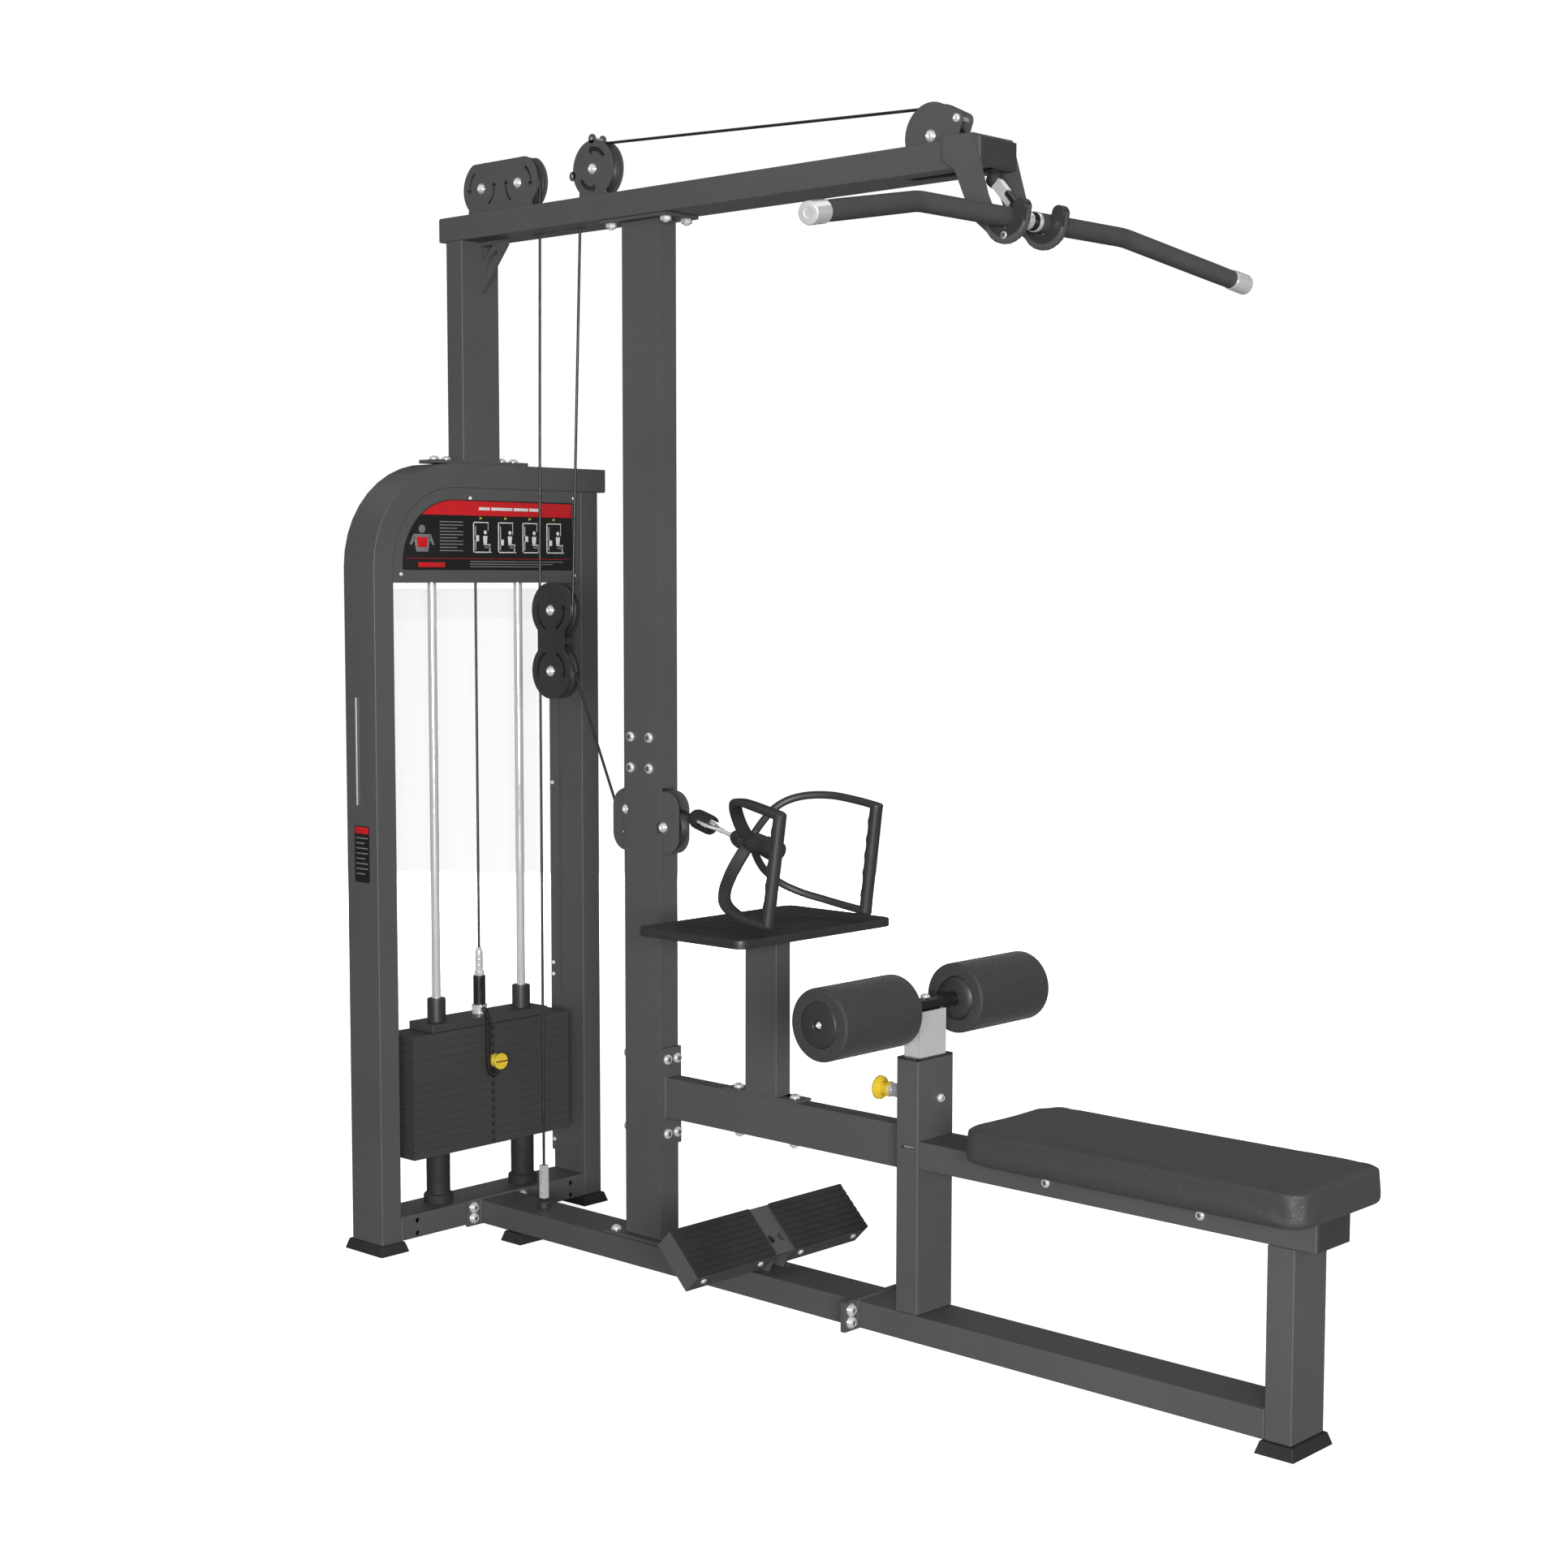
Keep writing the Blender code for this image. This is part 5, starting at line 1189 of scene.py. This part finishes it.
# ---- row handle ---------------------------------------------------------------------------------
UPPER = mm("851,8,902 855.5,30,927 866,52,952 885,74,969 915,96,978 957,118,979 1010,130,972 1063.5,136,962.5")
LOWER = mm("1035,137,759 970,136,767 930,127,775 889,106,787 861,78,805 848,51,828 846,30,852 851,8,882")
HUB, HUB_AXIS = Vector((0.8055, 0, 0.8990)), Vector((0.988, 0, -0.155)).normalized()


def strap(s, path, wide, section, mat):
    """A flat bar along a path, its width kept towards one direction and its ends drawn in."""
    rings = []
    for i, p in enumerate(path):
        along = direction_at(path, i)
        side = (wide - along * wide.dot(along)).normalized()
        across = along.cross(side)
        k = (0.72, 0.93, 1.0)[min(i, len(path) - 1 - i, 2)]
        rings.append([p + side * (a * k) + across * (b * k) for a, b in section])
    s.loft(rings, mat)


def row_handle():
    s = Shape()
    s.lathe(mm("0,0 7,.8 11,4 16,12 19.2,22 20,33 18.6,41 18.2,45 19.6,52 20.5,64 19.8,76 19,84 20.5,92 22.2,104 "
               "21.4,115 16,127 8,132.8 0,134"), HUB, HUB_AXIS, "plastic", 56)
    made = s.emit("row_hub", "row_grip", weighted=False, angle=50)
    holes = Shape()
    for along in (0.0270, 0.0520):
        spot = HUB + HUB_AXIS * along
        holes.lathe(mm("0,-30 6.8,-30 6.8,-13 0,-13"), spot, (0, 1, 0), "inner", 28)
        holes.lathe(mm("0,13 6.8,13 6.8,30 0,30"), spot, (0, 1, 0), "inner", 28)
    carve(made, holes, 50)
    slot = Shape()
    side = Vector((0, 1, 0))
    turn = axes_at(HUB, HUB_AXIS, side, HUB_AXIS.cross(side))
    slot.box((-0.01, 0.0150), (-0.0050, 0.0050), (-0.03, 0.03), "inner", 0.0004, turn)
    carve(made, slot, 50)
    s = Shape()
    section = superellipse(0.0125, 0.0070, 3.6, 24)
    for side in (-1, 1):
        for half in (UPPER, LOWER):
            path = smooth([(x, side * y, z) for x, y, z in half], 9)
            strap(s, path, Vector((0.68, -side * 0.73, 0)), section, "plastic")
        low = Vector((1.0265, side * 0.1365, 0.7605))
        high = Vector((1.0550, side * 0.1345, 0.9645))
        along = (high - low).normalized()
        length = (high - low).length
        back = Vector((-1, 0, 0))
        back = (back - along * back.dot(along)).normalized()
        flank = along.cross(back)
        count, n, reach = 96, 28, 0.0065
        rings = []
        for i in range(count + 1):
            t = -reach + (length + 2 * reach) * i / count
            ridge = max(0.0, *(1 - abs(t / length - spot) / 0.062 for spot in (0.16, 0.36, 0.53, 0.68, 0.85)))
            bump = 0.0030 * (3 * ridge ** 2 - 2 * ridge ** 3)
            end = min(t + reach, length + reach - t)
            close = math.sqrt(max(0.0, 1 - max(0.0, 1 - end / 0.005) ** 2))
            ring = []
            for k in range(n):
                a = 2 * math.pi * k / n
                c, d = math.cos(a), math.sin(a)
                depth = (0.0118 + bump * max(c, 0)) * c
                ring.append(low + along * t + (back * depth + flank * (0.0128 * d)) * max(close, 0.02))
            rings.append(ring)
        s.loft(rings, "plastic")
    s.emit("row_handle_look", "row_grip", ("row_handle",), weighted=False, angle=50)


def row_link():
    start, stop = Vector((ROW_END[0], 0, ROW_END[1])), HUB
    axis = (stop - start).normalized()
    side = Vector((0, 1, 0))
    across = axis.cross(side)
    s = Shape()
    s.lathe(mm("0,1 5.5,1 8.5,3 16,11 18.8,18 19.4,26 19.4,54 18.6,60 17.2,62.5 15,62 13.8,60 13.8,30 0,29"),
            start, axis, "rubber", 56)
    made = s.emit("row_link_sleeve", "row_grip", angle=50)
    cut = Shape().box((0.0330, 0.08), (-0.03, 0.03), (-0.0062, 0.0062), "inner", 0.0004,
                      axes_at(start, axis, side, across))
    carve(made, cut, 50)
    s = Shape()
    for k in (-1, 1):
        prong = [start + axis * along + side * (k * out) for along, out in
                 mm("29,11.2 52,11.8 62,10.8 76,4.8 86,2")]
        s.sweep(smooth(prong, 5), circle(0.0033, 16), "chrome", across)
        s.lathe(mm("3,0 4.6,.8 4.6,12 3,12.8 3,0"), start + axis * 0.0440 + side * (k * 0.0117), axis, "chrome", 24)
    s.lathe(mm("0,-12.8 3.6,-12.8 4.2,-12 4.2,12 3.6,12.8 0,12.8"), start + axis * 0.0320, side, "zinc", 24)
    s.lathe(mm("0,80 3.4,80 5,83 5,89 4,91 4,127 0,127"), start, axis, "chrome", 28)
    s.emit("row_link_look", "row_grip", ("row_link",))


# ---- seat, tray, footrest and hold-down ---------------------------------------------------------
SWELL_LIMIT, SWELL_STEPS, SWELL_PRESSURE, VOXEL = 0.0034, 20, 3.0, 0.006


def seat():
    """An upholstered pad, swollen with cloth pressure, on a thin board."""
    x, y, z = mm("1469,2145 -137,137 395,453")
    bm = bmesh.new()
    outline = rounded(x, y, 0.042, 10)
    base = [bm.verts.new((a - OX, b, z[0])) for a, b in outline]
    top = [bm.verts.new((a - OX, b, z[1])) for a, b in outline]
    bm.faces.new(base[::-1])
    bm.faces.new(top)
    for i in range(len(base)):
        j = (i + 1) % len(base)
        bm.faces.new((base[i], base[j], top[j], top[i]))
    edges = [e for e in bm.edges if all(v.co.z > z[1] - 1e-6 for v in e.verts)]
    bmesh.ops.bevel(bm, geom=edges, offset=0.0155, segments=6, profile=0.5, affect="EDGES")
    edges = [e for e in bm.edges if all(v.co.z < z[0] + 1e-6 for v in e.verts) and e.calc_length() > 0.001]
    bmesh.ops.bevel(bm, geom=edges, offset=0.010, segments=4, profile=0.5, affect="EDGES")
    mesh = bpy.data.meshes.new("seat_pad_look")
    bm.to_mesh(mesh)
    bm.free()
    made = add_object("seat_pad_look", mesh)
    bpy.context.view_layer.objects.active = made
    mesh.remesh_voxel_size = VOXEL
    made.select_set(True)
    bpy.ops.object.voxel_remesh()
    rest = [v.co.copy() for v in made.data.vertices]
    cloth = made.modifiers.new("swell", "CLOTH")
    cloth.settings.use_pressure = True
    cloth.settings.uniform_pressure_force = SWELL_PRESSURE
    cloth.settings.mass = 0.4
    cloth.settings.tension_stiffness = cloth.settings.compression_stiffness = 30
    cloth.settings.shear_stiffness = 12
    cloth.settings.bending_stiffness = 2.0
    cloth.settings.effector_weights.gravity = 0
    pinned = made.vertex_groups.new(name="board")
    pinned.add([i for i, p in enumerate(rest) if p.z < z[0] + 0.008], 1.0, "REPLACE")
    cloth.settings.vertex_group_mass = "board"
    for step in range(1, SWELL_STEPS + 1):
        bpy.context.scene.frame_set(step)
    swollen = made.evaluated_get(bpy.context.evaluated_depsgraph_get())
    moved = [v.co.copy() for v in swollen.data.vertices]
    made.modifiers.remove(cloth)
    bpy.context.scene.frame_set(1)
    for v, before, after in zip(made.data.vertices, rest, moved):
        shift = after - before
        if shift.length > SWELL_LIMIT:
            shift *= SWELL_LIMIT / shift.length
        v.co = before + shift
    made.data.materials.clear()
    made.data.materials.append(MAT["vinyl"])
    made.data.shade_smooth()
    relax = made.modifiers.new("relax", "SMOOTH")
    relax.factor = 0.5
    relax.iterations = 4
    fine = made.modifiers.new("fine", "SUBSURF")
    fine.levels = fine.render_levels = 1
    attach(made, "frame")
    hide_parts("seat_pad")
    s = Shape()
    s.prism(rounded((1.489, 2.127), (-0.119, 0.119), 0.034, 10), "XY", 0.3914, 0.3985, "plastic", (), 0.001)
    for along in (1.590, 1.700, 1.900, 2.020):
        for side in (-1, 1):
            s.screw((along, side * 0.092, 0.3914), (0, 0, -1), 0.0080, 0.0030)
    s.emit("seat_board", "frame")


def tray():
    s = Shape()
    z0, z1 = 0.7240, 0.7410
    s.prism(rounded((0.757, 1.032), (-0.214, 0.214), 0.022, 10), "XY", z0, z1, "plastic", (), 0.0030)
    made = s.emit("tray_look", "frame", ("tray",), weighted=False)
    cutter = Shape()
    for x, half in mm("784,52 822,62 860,70 898,70 936,62 974,52"):
        for centre in (-0.085, 0.105):
            cutter.prism(hull((x, centre - half, 0.0026), (x, centre + half, 0.0026), count=16), "XY", z1 - 0.0022,
                         z1 + 0.01, "plastic", (), 0.0002)
    carve(made, cutter)


def footrest():
    length, tread, count = FOOTREST_LENGTH, 0.0055, 8
    for side, node in ((-1, "footrest_tread_left"), (1, "footrest_tread_right")):
        s = Shape()
        low, high = sorted((side * 0.029, side * 0.238))
        outline = [(0, -tread), (length, -tread), (length, -0.0012), (length - 0.0012, 0)]
        for i in range(count - 1, 0, -1):
            g = length * i / count
            outline += [(g + 0.0012, 0), (g + 0.0008, -0.0017), (g - 0.0008, -0.0017), (g - 0.0012, 0)]
        outline += [(0.0012, 0), (0, -0.0012)]
        s.loft([[FOOTREST @ Vector((a, y, d)) for a, d in outline] for y in (low, high)], "tread")
        s.emit(node + "_look", "frame", (node,), bevel=0.0003)


def hold_down():
    x, z = 1.2870, 0.630
    s = Shape()
    t = 0.0025
    x0, x1, y1, low, high = 1.2690, 1.3060, 0.037, 0.220, z - 0.0085
    for xs in ((x0, x0 + t), (x1 - t, x1)):
        s.box(xs, (-y1, y1), (low, high), "chrome", 0.0007)
    for ys in ((-y1, -y1 + t), (y1 - t, y1)):
        s.box((x0 + 0.0006, x1 - 0.0006), ys, (low, high - 0.0002), "chrome", 0.0007)
    s.lathe(mm("0,-283.8 12,-283.8 12.5,-283 12.5,283 12,283.8 0,283.8"), (x, 0, z), (0, 1, 0), "gloss", 48)
    s.screw((x, 0, z + 0.0122), (0, 0, 1), 0.0090, 0.0072)
    s.emit("hold_down_stem_look", "hold_down", ("hold_down_stem",))
    low, high, r = 0.079, 0.292, 0.0645
    length = high - low
    for side, node in ((-1, "roller_left"), (1, "roller_right")):
        s = Shape()
        edge = 0.0052
        skin = [(0.0420, 0.0120), (0.0420, 0.0045), (r - edge, 0.0042)]
        skin += [(r - edge + edge * math.sin(a), 0.0042 + edge - edge * math.cos(a)) for a in
                 (math.radians(d) for d in range(15, 91, 15))]
        skin += [(r, length * k) for k in (0.2, 0.35, 0.5, 0.65, 0.8)]
        skin += [(r - edge + edge * math.cos(a), length - 0.0042 - edge + edge * math.sin(a)) for a in
                 (math.radians(d) for d in range(0, 91, 15))]
        skin += [(0.0412, length - 0.0045), (0.0412, length - 0.0120), (0.0160, length - 0.0120),
                 (0.0160, 0.0120), (0.0420, 0.0120)]
        base = (x, side * low, z)
        s.lathe(skin, base, (0, side, 0), "foam", 72)
        s.lathe(mm("13.2,.3 18.5,.3 25,1.4 33,4.2 38.5,7.6 40.2,10 40.2,11.8 13.2,11.8 13.2,.3"), base, (0, side, 0),
                "plastic", 56)
        disc = mm("0,8.5 8.8,8.5 9.2,1.2 10,.5 20,.6 32,1.8 38.5,3.4 40,5.2 40,11.8 0,11.8")
        s.lathe([(radius, length - depth) for radius, depth in disc], base, (0, side, 0), "plastic", 56)
        cap = Vector(base) + Vector((0, side, 0)) * (length - 0.0085)
        s.screw(cap, (0, side, 0), 0.0068, 0.0066)
        made = s.emit(node + "_look", body_of(node), (node,), weighted=False)


def pop_pin():
    s = Shape()
    base = Vector((1.2655, 0, 0.463))
    s.lathe(mm("0,.3 5,.3 5.5,1 5.5,61.5 0,61.5"), base, (-1, 0, 0),
            "chrome", 24)
    s.lathe(mm("0,56.3 12.8,56.3 13.5,57.2 13.5,63.5 12.2,65.2 11.8,74 12.4,77.2 15,79 20.5,80 22,81.4 22,85.8 "
               "20.8,87.2 10,88 0,88"), base, (-1, 0, 0), "yellow", 56)
    for k in range(10):
        a = 2 * math.pi * k / 10
        spot = base + Vector((0, 0.0134 * math.cos(a), 0.0134 * math.sin(a)))
        s.lathe(mm("0,57 1.1,58 1.1,62.8 0,63.8"), spot, (-1, 0, 0), "yellow", 8)
    s.emit("pop_pin_look", "lock_pin", ("pop_pin",))
    s = Shape()
    profile = mm("7.2,0 12.5,0 12.5,10")
    for k in range(14):
        d = 0.0112 + k * 0.0026
        profile += [(0.0116, d), (0.0124, d + 0.0008), (0.0124, d + 0.0015), (0.0116, d + 0.0022)]
    profile += mm("12.4,49.5 12.4,52.8 11.8,53.4 7.2,53.4 7.2,0")
    s.lathe(profile, (1.2625, 0, 0.463), (-1, 0, 0), "chrome", 40)
    s.lathe(mm("7.2,0 15,0 15,6 14,7.2 7.2,7.2"), (1.2625, 0, 0.463), (-1, 0, 0), "zinc", 6)
    s.emit("pop_pin_barrel", "frame")


camera()
studio()
painted_frame()
plugs()
feet()
frame_bolts()
sign()
decal()
tower()
plates()
lanyard()
cables()
pulleys()
bar_holder()
lat_bar()
row_handle()
row_link()
seat()
tray()
footrest()
hold_down()
pop_pin()
